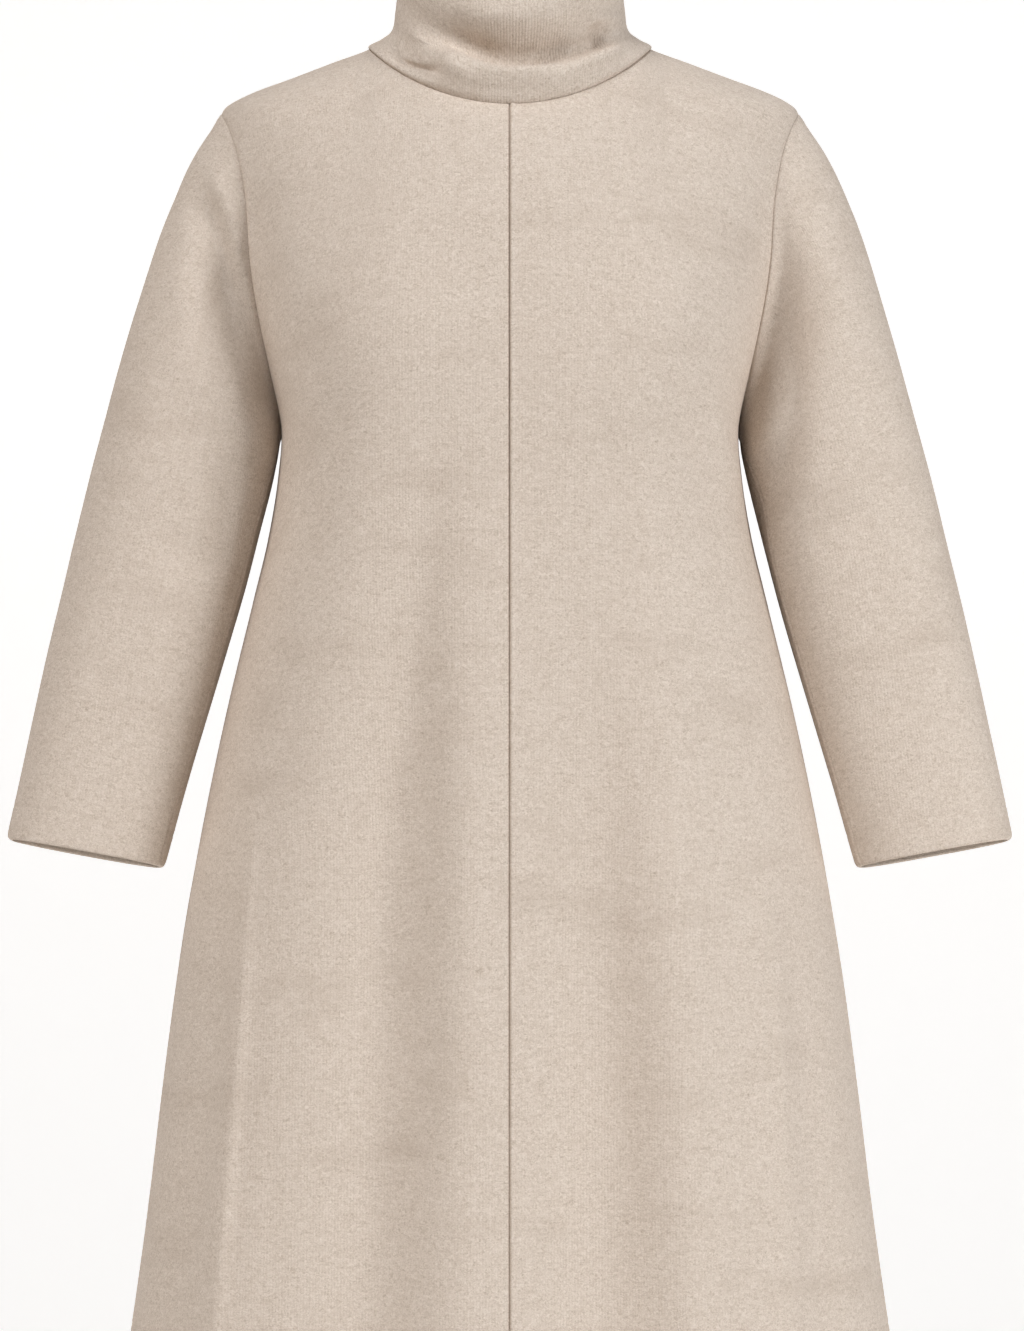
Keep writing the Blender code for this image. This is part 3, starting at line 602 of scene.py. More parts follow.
def collar_surface(turn, climb):
    """The collar. Climb goes from its seam (0) to its top edge (1)."""
    c = np.cos(turn)
    share = {"front": np.where(c > 0, c**2, 0), "back": np.where(c < 0, c**2, 0)}
    share["side"] = 1 - share["front"] - share["back"]
    steps = np.linspace(0, 1, len(COLLAR_LEVELS))
    levels = [(step, *row) for step, row in zip(steps, COLLAR_LEVELS)]
    mixed = {}
    for word in ("up", "out"):
        columns = ("climb", *COLLAR_COLUMNS)
        curves = {part: through(levels, columns, f"{word}_{part}", climb) for part in share}
        mixed[word] = sum(curves[part] * share[part] for part in share)
    nudge = 0.01
    run = neckline(turn + nudge) - neckline(turn - nudge)
    away = unit(points(run[..., 1], -run[..., 0], 0))
    grid = neckline(turn) + away * mixed["out"][..., None]
    grid[..., 2] += mixed["up"]
    return grid


# Fine form of the cloth


def spread(count, span, start=True):
    """Places from 0 to 1 over a span in metres, close together near a seam at its end or at both."""
    near = np.array(EDGE_STEPS)
    first = near if start else near[:1]
    last = span - near[::-1]
    return np.concatenate([first, np.linspace(first[-1], last[0], count)[1:-1], last]) / span


def closed_round(grid):
    """The grid of a tube with its first column again at its end."""
    return np.concatenate([grid, grid[:, :1]], axis=1)


def normals_of(grid, around=False):
    """Way out at each point of a grid whose rows go up and columns go anticlockwise from above."""
    if around:
        wide = np.concatenate([grid[:, -1:], grid, grid[:, :1]], axis=1)
        across = (wide[:, 2:] - wide[:, :-2]) / 2
    else:
        across = np.gradient(grid, axis=1)
    up = np.gradient(grid, axis=0)
    return unit(np.cross(across, up))


def lengths(grid, axis):
    """Distance along the cloth from the first row (axis 0) or column (axis 1) of a grid."""
    step = np.linalg.norm(np.diff(grid, axis=axis), axis=-1)
    start = np.zeros_like(step[:1] if axis == 0 else step[:, :1])
    return np.cumsum(np.concatenate([start, step], axis=axis), axis=axis)


def from_ends(grid, axis):
    """Distances along the cloth from its first row or column, and from its last."""
    return lengths(grid, axis), np.flip(lengths(np.flip(grid, axis), axis), axis)


def seam_rise(distance, kind):
    """Rise of the cloth at this distance from a seam."""
    seam = dict(zip(SEAM_COLUMNS, SEAMS[kind]))
    dip = -seam["dip"] * np.exp(-((distance / seam["dip_width"]) ** 2))
    return dip + seam["roll"] * np.exp(-(((distance - seam["roll_at"]) / seam["roll_width"]) ** 2))


def crease_rise(grid, creases, mirror=1):
    """Rise of all the creases of a table, which fade out at both ends of their paths."""
    x, z = grid[..., 0] * mirror, grid[..., 2]
    total = np.zeros(x.shape)
    for row in creases:
        crease = dict(zip(CREASE_COLUMNS, row))
        path = smooth_path(np.array(crease["path"]))
        nearest = np.full(total.shape, np.inf)
        side = np.zeros(total.shape)
        place = np.zeros(total.shape)
        for k, (a, b) in enumerate(zip(path[:-1], path[1:])):
            run = b - a
            t = np.clip(((x - a[0]) * run[0] + (z - a[1]) * run[1]) / (run @ run), 0, 1)
            dx, dz = x - a[0] - t * run[0], z - a[1] - t * run[1]
            distance = np.hypot(dx, dz)
            closer = distance < nearest
            nearest = np.where(closer, distance, nearest)
            side = np.where(closer, dx, side)
            place = np.where(closer, (k + t) / (len(path) - 1), place)
        width = np.where(side < 0, crease["width_left"], crease["width_right"])
        fade = ease(place / 0.35) * ease((1 - place) / 0.35)
        total += crease["rise"] * fade * np.exp(-((nearest / width) ** 2))
    return total


def smooth_path(path):
    """A rounded line through a crease's few points, with six steps between each two."""
    at = np.arange(len(path), dtype=float)
    fine = np.linspace(0, len(path) - 1, (len(path) - 1) * 6 + 1)
    table = [(k, *point) for k, point in zip(at, path)]
    return np.stack([through(table, ("k", "x", "z"), word, fine) for word in ("x", "z")], axis=-1)


def waves(u, v, seed):
    """Soft unevenness over the flat cloth, from lattices of random heights."""
    total = np.zeros(np.broadcast(u, v).shape)
    for k, (size, height) in enumerate(WAVES):
        lattice = np.random.RandomState(seed + k).uniform(-1, 1, (WAVE_LATTICE, WAVE_LATTICE))
        a, b = u / size + 40, v / (size * 1.6) + 10
        i, j = np.floor(a).astype(int), np.floor(b).astype(int)
        s, t = ease(a - i), ease(b - j)
        corners = [lattice[(i + p) % WAVE_LATTICE, (j + q) % WAVE_LATTICE] for p in (0, 1) for q in (0, 1)]
        low = corners[0] * (1 - t) + corners[1] * t
        high = corners[2] * (1 - t) + corners[3] * t
        total += height * (low * (1 - s) + high * s)
    return total


def rounded(distance, radius):
    """Share of a wall's half thickness at this distance from its folded edge."""
    reach = 1 - np.clip(distance / radius, 0, 1)
    return np.maximum(np.sqrt(1 - reach**2), 0.15)


def wall_faces(rows, columns, around):
    """Corner numbers of a wall's quads: its outside, its inside and then its rims."""
    index = np.arange(rows * columns).reshape(rows, columns)
    if around:
        index = closed_round(index)
    inside = index + rows * columns
    a, b, c, d = index[:-1, :-1], index[:-1, 1:], index[1:, 1:], index[1:, :-1]
    faces = [np.stack([a, b, c, d], axis=-1).reshape(-1, 4)]
    a, b, c, d = (part + rows * columns for part in (a, b, c, d))
    faces.append(np.stack([a, d, c, b], axis=-1).reshape(-1, 4))
    rims = [(index[0], inside[0], False), (index[-1], inside[-1], True)]
    if not around:
        rims += [(index[:, 0], inside[:, 0], True), (index[:, -1], inside[:, -1], False)]
    for edge, under, turned in rims:
        corners = [edge[1:], edge[:-1], under[:-1], under[1:]]
        faces.append(np.stack(corners[::-1] if turned else corners, axis=-1))
    return np.concatenate(faces)


def cloth_mesh(name, outer, inner, flat, edge, around):
    """Closed mesh of a piece, with its cloth laid flat as the UV map and its edges as an attribute, which
    the material reads for the painted seam shade.
    """
    rows, columns = outer.shape[:2]
    faces = wall_faces(rows, columns, around)
    mesh = bpy.data.meshes.new(name)
    mesh.vertices.add(2 * rows * columns)
    mesh.vertices.foreach_set("co", np.concatenate([outer.reshape(-1, 3), inner.reshape(-1, 3)]).ravel())
    mesh.loops.add(faces.size)
    mesh.loops.foreach_set("vertex_index", faces.ravel())
    mesh.polygons.add(len(faces))
    mesh.polygons.foreach_set("loop_start", np.arange(len(faces)) * 4)
    mesh.update(calc_edges=True)
    shared = flat[:, :columns].reshape(-1, 2)
    corners = np.concatenate([shared, shared])[faces.ravel()].reshape(-1, 4, 2)
    if around:
        total = flat[:, -1, 0] - flat[:, 0, 0]
        quads = (rows - 1) * columns
        closing = np.arange(rows - 1) * columns + columns - 1
        for start, places in ((0, (1, 2)), (quads, (3, 2))):
            for place, shift in zip(places, (0, 1)):
                corners[start + closing, place, 0] += total[shift : rows - 1 + shift]
    mesh.uv_layers.new(name="cloth")
    mesh.uv_layers["cloth"].data.foreach_set("uv", corners.astype(np.float32).ravel())
    layer = mesh.attributes.new("edge", "FLOAT", "POINT")
    layer.data.foreach_set("value", np.concatenate([edge.ravel(), edge.ravel()]).astype(np.float32))
    mesh.shade_smooth()
    mesh.validate()
    return mesh


def laid_flat(grid, middle, around):
    """Width and length of the cloth at each point, counted from a middle column and the lowest row."""
    closed = closed_round(grid) if around else grid
    across = lengths(closed, 1)
    across = across - across[:, middle : middle + 1]
    return np.stack([across, lengths(closed, 0)], axis=-1)


def finish_piece(name, outer, out, thickness, flat, edge, material, around=False):
    """Makes the shell of a cut piece, which stands for its solid."""
    inner = outer - out * thickness[..., None]
    mesh = cloth_mesh(name + "_cloth", outer, inner, flat, edge, around)
    mesh.materials.append(material)
    piece = placed(name + "_cloth", mesh)
    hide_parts(name)
    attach(piece, "root")
    return piece


# The cut pieces


def fold_rows(band, last, count):
    """Places of the rows up from a folded edge, past its row of stitches, to a last one."""
    near = np.array(EDGE_STEPS[:-1])
    stitched = band + np.array(BAND_STEPS)
    between = np.linspace(near[-1], stitched[0], 7)[1:-1]
    above = np.linspace(stitched[-1], last, count)[1:]
    return np.concatenate([near, between, stitched, above])


def turned_out(out, seam_out, distance, reach):
    """Ways out of the cloth, turned to those of a seam within this reach of it."""
    near = np.exp(-((distance / reach) ** 2))[..., None]
    return unit(out * (1 - near) + seam_out * near)


def turned_up(low, band):
    """Thickness of the cloth, more in its turned-up band, and how far the folded edge rounds in."""
    thickness = np.full(low.shape, CLOTH) + TURN_UP * (1 - ease((low - band) / BAND_EDGE))
    return thickness, (1 - rounded(low, FOLD_RADIUS)) * thickness / 2


def body_panel(shares, face):
    """Outer grid and ways out of a body panel whose columns lie at these shares of its width."""
    turned = shares if face < 0 else -shares
    centre = 0 if face < 0 else math.pi
    rows = fold_rows(HEM_BAND, LOWER_SPAN, LOWER_ROWS) / LOWER_SPAN
    level = HEM_HEIGHT + (UNDERARM_HEIGHT - HEM_HEIGHT) * rows[:-1, None]
    rough = skirt_heights(turned * SEAM_AT_HEM + centre, level)
    reach = side_seam(rough) if face < 0 else math.pi - side_seam(rough)
    angle = turned * reach + centre
    lower = skirt(angle, skirt_heights(angle, level))
    share = np.abs(shares)
    upper, turns = chest_columns(share, face, spread(UPPER_ROWS, UPPER_SPAN, start=False))
    mirror = np.where(shares < 0, -1.0, 1.0)
    upper[..., 0] *= mirror
    grid = np.concatenate([lower, upper])
    _, from_top = from_ends(grid, 0)
    _, top_out = top_edge(share, face)
    out = turned_out(normals_of(grid), top_out * points(mirror, 1, 1), from_top, NECK_TURN)
    chest = slice(len(lower), None)
    across = lengths(grid, 1)[chest]
    for column in (0, -1):
        if abs(shares[column]) == 1:
            seam_out = armhole_out(turns[:, column] * -face, 1) * (mirror[column], 1, 1)
            from_side = np.abs(across - across[:, column][:, None])
            out[chest] = turned_out(out[chest], seam_out[:, None], from_side, SEAM_TURN)
    return grid, out, len(lower)


def panel_seams(name, shares, seam_row, distances):
    """Rise of a body panel beside its seams, and how near each point is to one."""
    first, last, low, high = distances
    side = np.where(np.arange(len(low))[:, None] < seam_row, 1.0, 0.0)
    rise = np.zeros(first.shape)
    edge = np.full(first.shape, 1.0)
    for distance, share in ((first, shares[0]), (last, shares[-1])):
        if share == 0:
            rise += seam_rise(distance, "centre_ridge" if name == "front_left" else "centre_plain")
            # painted shade: half the distance gives the centre seam a deeper painted shade than the other
            # seams
            edge = np.minimum(edge, 0.5 * distance)  # a deeper shade than the other seams
        else:
            rise += side * seam_rise(distance, "side") + (1 - side) * seam_rise(distance, "armhole")
            edge = np.minimum(edge, distance)
    on_neck = (np.abs(shares) <= NECK_SHARE)[None, :]
    rise += np.where(on_neck, seam_rise(high, "neck"), seam_rise(high, "shoulder"))
    stitched = np.abs(low - HEM_BAND)
    rise += seam_rise(stitched, "stitch_row")
    return rise, np.minimum(np.minimum(edge, high), stitched + BAND_EDGE)


def make_panel(name, shares, face, material):
    """A front (face -1) or the back (face 1), with its seams, creases and turned-up hem."""
    grid, out, seam_row = body_panel(shares, face)
    first, last = from_ends(grid, 1)
    low, high = from_ends(grid, 0)
    rise, edge = panel_seams(name, shares, seam_row, (first, last, low, high))
    beside = np.minimum(first, last)
    facing = ease((face * grid[..., 1] - 0.02) / 0.03) * ease(beside / CREASE_CALM)
    rise += facing * crease_rise(grid, FRONT_CREASES if face < 0 else BACK_CREASES)
    flat = laid_flat(grid, int(np.argmin(np.abs(shares))), False)
    calm = ease(np.minimum(high, beside) / WAVE_CALM)
    rise += calm * waves(flat[..., 0], flat[..., 1], WAVE_SEEDS[name])
    thickness, fold = turned_up(low, HEM_BAND)
    outer = grid + out * rise[..., None]
    outer = outer - out * fold[..., None]
    piece = finish_piece(name, outer, out, thickness - 2 * fold, flat, edge, material)
    stitches = stitch_row(name + "_hem_stitches", outer, out, low, HEM_BAND)


def sleeve_places():
    """Where the rows lie along a sleeve and its columns round it, from its underarm seam."""
    top = (SLEEVE_LENGTH - np.array(EDGE_STEPS))[::-1]
    up = np.concatenate([fold_rows(CUFF_BAND, top[0], SLEEVE_ROWS)[:-1], top])
    along = (1 - up / SLEEVE_LENGTH)[:, None]
    start = math.pi + (SLEEVE_SEAM_AT_CUFF - math.pi) * ease(along / 0.5)
    return along, start - 2 * math.pi * spread(SLEEVE_AROUND, SLEEVE_SPAN)[:-1][None, :]


def sleeve_rise(sign, grid, turn, seam, low, high):
    """Rise of a sleeve beside its seams and at its creases."""
    rise = seam_rise(seam, "side") + seam_rise(high, "armhole")
    rise = rise + seam_rise(np.abs(low - CUFF_BAND), "stitch_row")
    in_front = ease((np.sin(turn) + 0.15) / 0.5) * ease(high / CREASE_CALM)
    behind = ease((-np.sin(turn) + 0.1) / 0.5) * ease(high / CREASE_CALM)
    creases = LEFT_SLEEVE_CREASES if sign > 0 else RIGHT_SLEEVE_CREASES
    rise += in_front * crease_rise(grid, creases, sign)
    rise += behind * crease_rise(grid, SLEEVE_BACK_CREASES)
    return rise


def make_sleeve(name, sign, material):
    """A set-in sleeve, built at +X and mirrored for the other side (sign -1)."""
    along, turn = sleeve_places()
    grid = sleeve_surface(turn, along + 0 * turn)
    low, high = from_ends(grid, 0)
    out = turned_out(normals_of(grid, around=True), armhole_out(turn, -1), high, SEAM_TURN)
    flat = laid_flat(grid, grid.shape[1] // 2, True)
    seam = np.minimum(*from_ends(closed_round(grid), 1))[:, :-1]
    rise = sleeve_rise(sign, grid, turn, seam, low, high)
    calm = ease(np.minimum(high, seam) / WAVE_CALM)
    rise += calm * waves(flat[:, :-1, 0], flat[:, :-1, 1], WAVE_SEEDS[name])
    rise -= CORNER_ROUND * (1 - rounded(low, CORNER_REACH)) * np.abs(np.cos(turn)) ** 6
    edge = np.minimum(np.minimum(seam, high), np.abs(low - CUFF_BAND) + BAND_EDGE)
    thickness, fold = turned_up(low, CUFF_BAND)
    outer = grid + out * (rise - fold)[..., None]
    if sign < 0:
        outer, out = outer[:, ::-1] * (-1, 1, 1), out[:, ::-1] * (-1, 1, 1)
        thickness, fold, low, edge = (part[:, ::-1] for part in (thickness, fold, low, edge))
        flat = laid_flat(outer, outer.shape[1] // 2, True)
    piece = finish_piece(name, outer, out, thickness - 2 * fold, flat, edge, material, around=True)
    stitches = stitch_row(name + "_cuff_stitches", outer, out, low, CUFF_BAND, around=True)


def make_collar(name, material):
    """The slouching funnel collar, from its seam up to its folded top. It closes at the centre back."""
    turn = math.pi + 2 * math.pi * (np.arange(COLLAR_AROUND) / COLLAR_AROUND)[None, :]
    climb = spread(COLLAR_ROWS, COLLAR_SPAN)[:, None]
    grid = collar_surface(turn + 0 * climb, climb + 0 * turn)
    low, high = from_ends(grid, 0)
    out = turned_out(normals_of(grid, around=True), neckline_out(turn), low, COLLAR_TURN)
    flat = laid_flat(grid, COLLAR_AROUND // 2, True)
    rise = seam_rise(low, "collar")
    in_front, behind = ease(np.cos(turn) / 0.3 + 0.5), ease(-np.cos(turn) / 0.3)
    calm = ease(low / CREASE_CALM)
    rise += calm * in_front * crease_rise(grid, COLLAR_CREASES)
    rise += calm * behind * crease_rise(grid, COLLAR_BACK_CREASES)
    rise += calm * waves(flat[:, :-1, 0], flat[:, :-1, 1], WAVE_SEEDS[name])
    thickness = CLOTH + (COLLAR_CLOTH - CLOTH) * ease(low / 0.004)
    fold = (1 - rounded(high, COLLAR_FOLD_RADIUS)) * thickness / 2
    outer = grid + out * (rise - fold)[..., None]
    piece = finish_piece(name, outer, out, thickness - 2 * fold, flat, low, material, around=True)


# Node trees


def new_sockets(tree, way, kind, words):
    """Gives a node group its named inputs or outputs."""
    for word in words:
        tree.interface.new_socket(word, in_out=way, socket_type="NodeSocket" + kind)


def set_inputs(node, values):
    """Sets plain values on a node's named sockets."""
    for word, value in values.items():
        node.inputs[word].default_value = value


def join(tree, *links):
    """Links nodes, each row being a node, its output, the next node and its input."""
    for source, output, target, place in links:
        tree.links.new(source.outputs[output], target.inputs[place])


def reckoned(tree, operation, *values):
    """Result of a Math node over sockets and plain numbers."""
    node = tree.nodes.new("ShaderNodeMath")
    node.operation = operation
    for place, value in zip(node.inputs, values):
        if isinstance(value, (int, float)):
            place.default_value = value
        else:
            tree.links.new(value, place)
    return node.outputs[0]


def new_material(name):
    """A material, its node tree and its shader."""
    material = bpy.data.materials.new(name)
    material.use_nodes = True
    return material, material.node_tree, material.node_tree.nodes["Principled BSDF"]


# Stitches


def stitch_turn(tree):
    """Node that turns each stitch along its row and flat on the cloth."""
    add = tree.nodes.new
    tangent, away = add("GeometryNodeInputTangent"), add("GeometryNodeInputNamedAttribute")
    away.data_type = "FLOAT_VECTOR"
    away.inputs["Name"].default_value = "away"
    along, upright = add("FunctionNodeAlignRotationToVector"), add("FunctionNodeAlignRotationToVector")
    along.axis, upright.axis, upright.pivot_axis = "X", "Z", "X"
    join(
        tree,
        (tangent, "Tangent", along, "Vector"),
        (along, "Rotation", upright, "Rotation"),
        (away, "Attribute", upright, "Vector"),
    )
    return upright


def stitch_size(tree, given):
    """Node that gives each stitch its width and its slightly uneven length."""
    uneven, size = tree.nodes.new("FunctionNodeRandomValue"), tree.nodes.new("ShaderNodeCombineXYZ")
    uneven.data_type = "FLOAT"
    uneven.inputs[2].default_value, uneven.inputs[3].default_value = 0.8, 1.15
    uneven.inputs["Seed"].default_value = 5
    long = reckoned(tree, "MULTIPLY", given.outputs["Length"], uneven.outputs[1])
    tree.links.new(long, size.inputs["X"])
    join(tree, (given, "Width", size, "Y"), (given, "Width", size, "Z"))
    return size


def stitch_tree():
    """Geometry Nodes tree that lays short stitches end to end along a line on the cloth."""
    tree = bpy.data.node_groups.new("row_of_stitches", "GeometryNodeTree")
    new_sockets(tree, "INPUT", "Geometry", ["Geometry"])
    new_sockets(tree, "INPUT", "Float", ["Pitch", "Length", "Width"])
    new_sockets(tree, "INPUT", "Material", ["Thread"])
    new_sockets(tree, "OUTPUT", "Geometry", ["Geometry"])
    add = tree.nodes.new
    given, result = add("NodeGroupInput"), add("NodeGroupOutput")
    line, even = add("GeometryNodeMeshToCurve"), add("GeometryNodeResampleCurve")
    even.mode = "LENGTH"
    shape, lay = add("GeometryNodeMeshUVSphere"), add("GeometryNodeInstanceOnPoints")
    set_inputs(shape, {"Segments": 8, "Rings": 4, "Radius": 0.5})
    real, finish = add("GeometryNodeRealizeInstances"), add("GeometryNodeSetMaterial")
    join(
        tree,
        (given, "Geometry", line, "Mesh"),
        (line, "Curve", even, "Curve"),
        (given, "Pitch", even, "Length"),
        (even, "Curve", lay, "Points"),
        (shape, "Mesh", lay, "Instance"),
        (stitch_turn(tree), "Rotation", lay, "Rotation"),
        (stitch_size(tree, given), "Vector", lay, "Scale"),
        (lay, "Instances", real, "Geometry"),
        (real, "Geometry", finish, "Geometry"),
        (given, "Thread", finish, "Material"),
        (finish, "Geometry", result, "Geometry"),
    )
    return tree


def stitch_guide(name, outer, out, low, distance, around):
    """Line on the cloth at this distance up from its folded edge, with the ways out of the cloth."""
    columns = outer.shape[1]
    line, away = np.zeros((columns, 3)), np.zeros((columns, 3))
    for column in range(columns):
        for axis in range(3):
            line[column, axis] = np.interp(distance, low[:, column], outer[:, column, axis])
            away[column, axis] = np.interp(distance, low[:, column], out[:, column, axis])
    mesh = bpy.data.meshes.new(name + "_line")
    pairs = [(k, k + 1) for k in range(columns - 1)] + ([(columns - 1, 0)] if around else [])
    mesh.from_pydata(line.tolist(), pairs, [])
    mesh.attributes.new("away", "FLOAT_VECTOR", "POINT").data.foreach_set("vector", away.ravel())
    return placed(name + "_line", mesh)


def stitch_row(name, outer, out, low, distance, around=False):
    """Stitches that show on the cloth, at this distance up from its folded edge."""
    guide = stitch_guide(name, outer, out, low, distance, around)
    tree = bpy.data.node_groups.get("row_of_stitches") or stitch_tree()
    modifier = guide.modifiers.new("stitches", "NODES")
    modifier.node_group = tree
    values = {"Pitch": STITCH_PITCH, "Length": STITCH_LENGTH, "Width": STITCH_WIDTH}
    values["Thread"] = bpy.data.materials.get("thread") or thread_finish()
    for item in tree.interface.items_tree:
        if item.in_out == "INPUT" and item.name in values:
            modifier[item.identifier] = values[item.name]
    seen = guide.evaluated_get(bpy.context.evaluated_depsgraph_get())
    stitches = placed(name, bpy.data.meshes.new_from_object(seen))
    bpy.data.objects.remove(guide)
    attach(stitches, "root")
    return stitches


# Finishes


def cloth_noise(tree, cloth, row):
    """Noise over cloth laid flat in metres, from its row of numbers."""
    noise = dict(zip(NOISE_COLUMNS, row))
    start = (noise["seed"], noise["seed"] * 0.37, noise["seed"] * 1.7)
    scaled, texture = tree.nodes.new("ShaderNodeMapping"), tree.nodes.new("ShaderNodeTexNoise")
    set_inputs(scaled, {"Scale": (noise["across"], noise["up"], 1), "Location": start})
    set_inputs(texture, {"Scale": 1, "Detail": noise["detail"], "Roughness": 0.6})
    set_inputs(texture, {"Distortion": noise["curl"]})
    tree.links.new(cloth, scaled.inputs["Vector"])
    join(tree, (scaled, "Vector", texture, "Vector"))
    return texture.outputs["Fac"]


def ranged(tree, value, none_at, full_at, none, full):
    """The value stretched from one range to another, and held at its ends."""
    node = tree.nodes.new("ShaderNodeMapRange")
    set_inputs(node, {"From Min": none_at, "From Max": full_at, "To Min": none, "To Max": full})
    tree.links.new(value, node.inputs["Value"])
    return node.outputs["Result"]


def mixed_colour(tree, share, first, second):
    """The first colour with a share of the second, which may be plain."""
    node = tree.nodes.new("ShaderNodeMix")
    node.data_type = "RGBA"
    tree.links.new(share, node.inputs["Factor"])
    tree.links.new(first, node.inputs[6])
    if isinstance(second, tuple):
        node.inputs[7].default_value = second
    else:
        tree.links.new(second, node.inputs[7])
    return node.outputs[2]


def heather_group():
    """Colour and height of heathered, brushed jersey over cloth laid flat in metres."""
    tree = bpy.data.node_groups.new("heather", "ShaderNodeTree")
    new_sockets(tree, "INPUT", "Vector", ["Cloth"])
    new_sockets(tree, "INPUT", "Color", list(COLOURS))
    new_sockets(tree, "INPUT", "Float", ["Wale pitch", "Wale depth", "Nap"])
    new_sockets(tree, "OUTPUT", "Color", ["Colour"])
    new_sockets(tree, "OUTPUT", "Float", ["Height"])
    given, result = tree.nodes.new("NodeGroupInput"), tree.nodes.new("NodeGroupOutput")
    noises = {name: cloth_noise(tree, given.outputs["Cloth"], row) for name, row in NOISES.items()}
    noises["fibre"] = reckoned(tree, "ABSOLUTE", reckoned(tree, "SUBTRACT", noises["curls"], 0.5))
    colour = given.outputs["Ground"]
    for row in LAYERS:
        layer = dict(zip(LAYER_COLUMNS, row))
        share = ranged(tree, noises[layer["noise"]], layer["none_at"], layer["full_at"], 0, layer["share"])
        colour = mixed_colour(tree, share, colour, given.outputs[layer["colour"]])
    tree.links.new(colour, result.inputs["Colour"])

    split = tree.nodes.new("ShaderNodeSeparateXYZ")
    join(tree, (given, "Cloth", split, "Vector"))
    cycle = reckoned(tree, "DIVIDE", split.outputs["X"], given.outputs["Wale pitch"])
    wave = reckoned(tree, "SINE", reckoned(tree, "MULTIPLY", cycle, 2 * math.pi))
    wales = reckoned(tree, "MULTIPLY", wave, given.outputs["Wale depth"])
    fluff = reckoned(tree, "MULTIPLY", noises["nap"], given.outputs["Nap"])
    tree.links.new(reckoned(tree, "ADD", wales, fluff), result.inputs["Height"])
    return tree


def jersey_finish(name, wale_depth):
    """Brushed jersey: soft heather colour, a fuzzy nap and faint wales, with painted shade darkening the
    colour down in the seams.
    """
    material, tree, shader = new_material(name)
    set_inputs(shader, {
        "Roughness": 0.95,
        "Specular IOR Level": 0.12,
        "Sheen Weight": 0.06,
        "Sheen Roughness": 0.55,
        "Sheen Tint": (1.0, 0.92, 0.84, 1),
    })
    heather, cloth, edge, bump = (
        tree.nodes.new(f"ShaderNode{kind}") for kind in ("Group", "UVMap", "Attribute", "Bump")
    )
    heather.node_tree = bpy.data.node_groups.get("heather") or heather_group()
    set_inputs(heather, {**COLOURS, "Wale pitch": WALE_PITCH, "Wale depth": wale_depth, "Nap": 1.0})
    cloth.uv_map = "cloth"
    edge.attribute_name = "edge"
    set_inputs(bump, {"Strength": 0.80, "Distance": 0.0007})
    join(
        tree,
        (cloth, "UV", heather, "Cloth"),
        (heather, "Height", bump, "Height"),
        (bump, "Normal", shader, "Normal"),
    )
    # painted shade: within this reach of a seam the heather colour is mixed towards a dark brown, standing
    # in for the shade in the seam groove
    painted_shade_share = ranged(tree, edge.outputs["Fac"], 0, PAINTED_SEAM_SHADE_REACH, 0.40, 0)
    colour = mixed_colour(tree, painted_shade_share, heather.outputs["Colour"], PAINTED_SEAM_SHADE)
    tree.links.new(colour, shader.inputs["Base Color"])
    return material


def thread_finish():
    """Sewing thread matched to the cloth."""
    material, tree, shader = new_material("thread")
    shader.inputs["Roughness"].default_value = 0.7
    place, twist, shade = (
        tree.nodes.new(f"ShaderNode{kind}") for kind in ("TexCoord", "TexNoise", "ValToRGB")
    )
    twist.inputs["Scale"].default_value = 900
    shade.color_ramp.elements[0].color = (0.520, 0.430, 0.350, 1)
    shade.color_ramp.elements[1].color = (0.700, 0.620, 0.530, 1)
    join(
        tree,
        (place, "Object", twist, "Vector"),
        (twist, "Fac", shade, "Fac"),
        (shade, "Color", shader, "Base Color"),
    )
    return material


# Stage, light and camera


def paper_finish():
    """White backdrop paper that glows a little, seen from its inner side only."""
    material, tree, shader = new_material("pale_paper")
    set_inputs(shader, {
        "Base Color": (0.94, 0.94, 0.94, 1),
        "Roughness": 1.0,
        "Emission Color": (1.0, 0.975, 0.94, 1),
        "Emission Strength": 0.33,
    })
    side = tree.nodes.new("ShaderNodeNewGeometry")
    tree.links.new(reckoned(tree, "SUBTRACT", 1.0, side.outputs["Backfacing"]), shader.inputs["Alpha"])
    return material


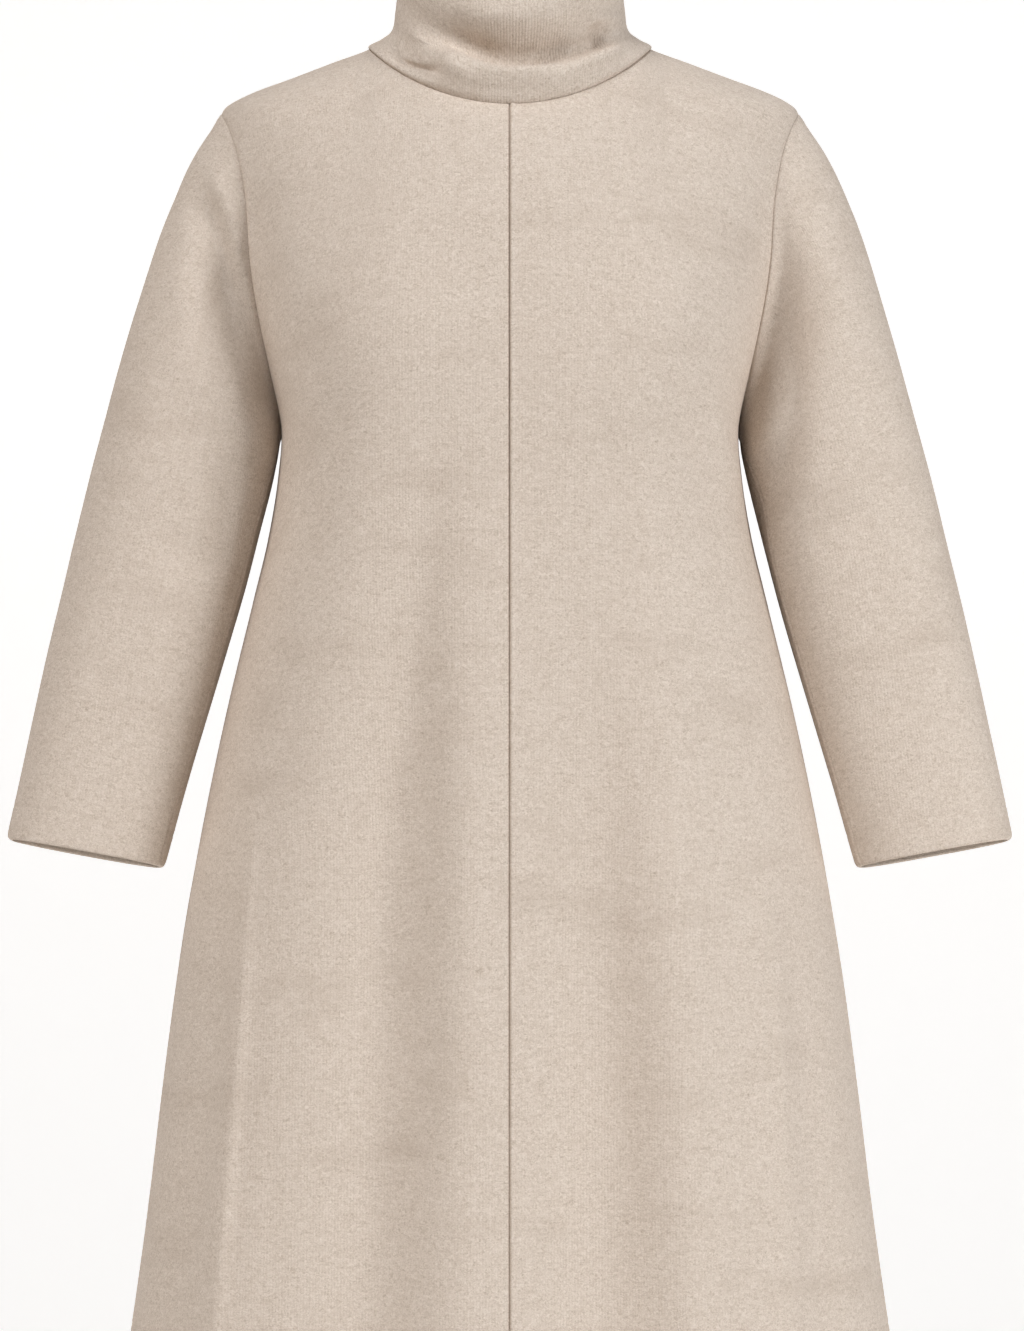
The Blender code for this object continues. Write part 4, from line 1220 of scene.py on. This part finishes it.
def make_stage():
    """A pale floor that sweeps up into a backdrop. From behind, the view passes through it."""
    bend = STAGE_DEPTH - STAGE_RADIUS
    profile = [(FLOOR_FRONT, FLOOR_HEIGHT), (bend, FLOOR_HEIGHT)]
    for k in range(1, SWEEP_STEPS + 1):
        angle = k / SWEEP_STEPS * math.pi / 2
        climb = STAGE_RADIUS * (1 - math.cos(angle))
        profile.append((bend + STAGE_RADIUS * math.sin(angle), FLOOR_HEIGHT + climb))
    profile.append((STAGE_DEPTH, STAGE_HEIGHT))
    corners = [(x, y, z) for x in (-STAGE_HALF_WIDTH, STAGE_HALF_WIDTH) for y, z in profile]
    count = len(profile)
    faces = [(k, k + count, k + count + 1, k + 1) for k in range(count - 1)]
    mesh = bpy.data.meshes.new("floor")
    mesh.from_pydata(corners, [], faces)
    mesh.shade_smooth()
    mesh.materials.append(paper_finish())
    floor = placed("floor", mesh)


def make_lights():
    """Soft square lamps aimed at the dress, and a sky that is seen but hardly lights it."""
    for name, place, size, power, colour in LIGHTS:
        lamp = bpy.data.lights.new(name, "AREA")
        lamp.shape, lamp.size, lamp.energy, lamp.color = "SQUARE", size, power, colour
        light = placed(name, lamp)
        light.location = place
        light.rotation_euler = (Vector(LIGHT_AIM) - Vector(place)).to_track_quat("-Z", "Y").to_euler()
    world = bpy.data.worlds.new("studio")
    world.use_nodes = True
    tree = world.node_tree
    sky, path = tree.nodes["Background"], tree.nodes.new("ShaderNodeLightPath")
    sky.inputs["Color"].default_value = (1, 1, 1, 1)
    seen = reckoned(tree, "MULTIPLY_ADD", path.outputs["Is Camera Ray"], SKY_SEEN, SKY_LIGHT)
    tree.links.new(seen, sky.inputs["Strength"])
    bpy.context.scene.world = world


def make_camera():
    """Camera straight in front of the dress, framed as the photo."""
    lens = bpy.data.cameras.new("camera")
    lens.lens, lens.sensor_width = CAMERA_LENS, 36
    camera = placed("camera", lens)
    camera.location = CAMERA_PLACE
    camera.rotation_euler = (math.radians(90), 0, 0)
    bpy.context.scene.camera = camera
    bpy.context.scene.view_settings.view_transform = "Standard"


def make_dress():
    """All the cut pieces, in two finishes of the same jersey."""
    jersey = jersey_finish("brushed_jersey", BODY_WALE_DEPTH)
    collar = jersey_finish("collar_jersey", COLLAR_WALE_DEPTH)
    half = spread(PANEL_COLUMNS, PANEL_SPAN)
    make_panel("front_left", half, -1, jersey)
    make_panel("front_right", -half[::-1], -1, jersey)
    back_half = spread(BACK_COLUMNS, PANEL_SPAN, start=False)
    make_panel("back", np.concatenate([back_half[::-1], -back_half[1:]]), 1, jersey)
    make_sleeve("sleeve_left", 1, jersey)
    make_sleeve("sleeve_right", -1, jersey)
    make_collar("collar", collar)


make_camera()
make_lights()
make_stage()
make_dress()
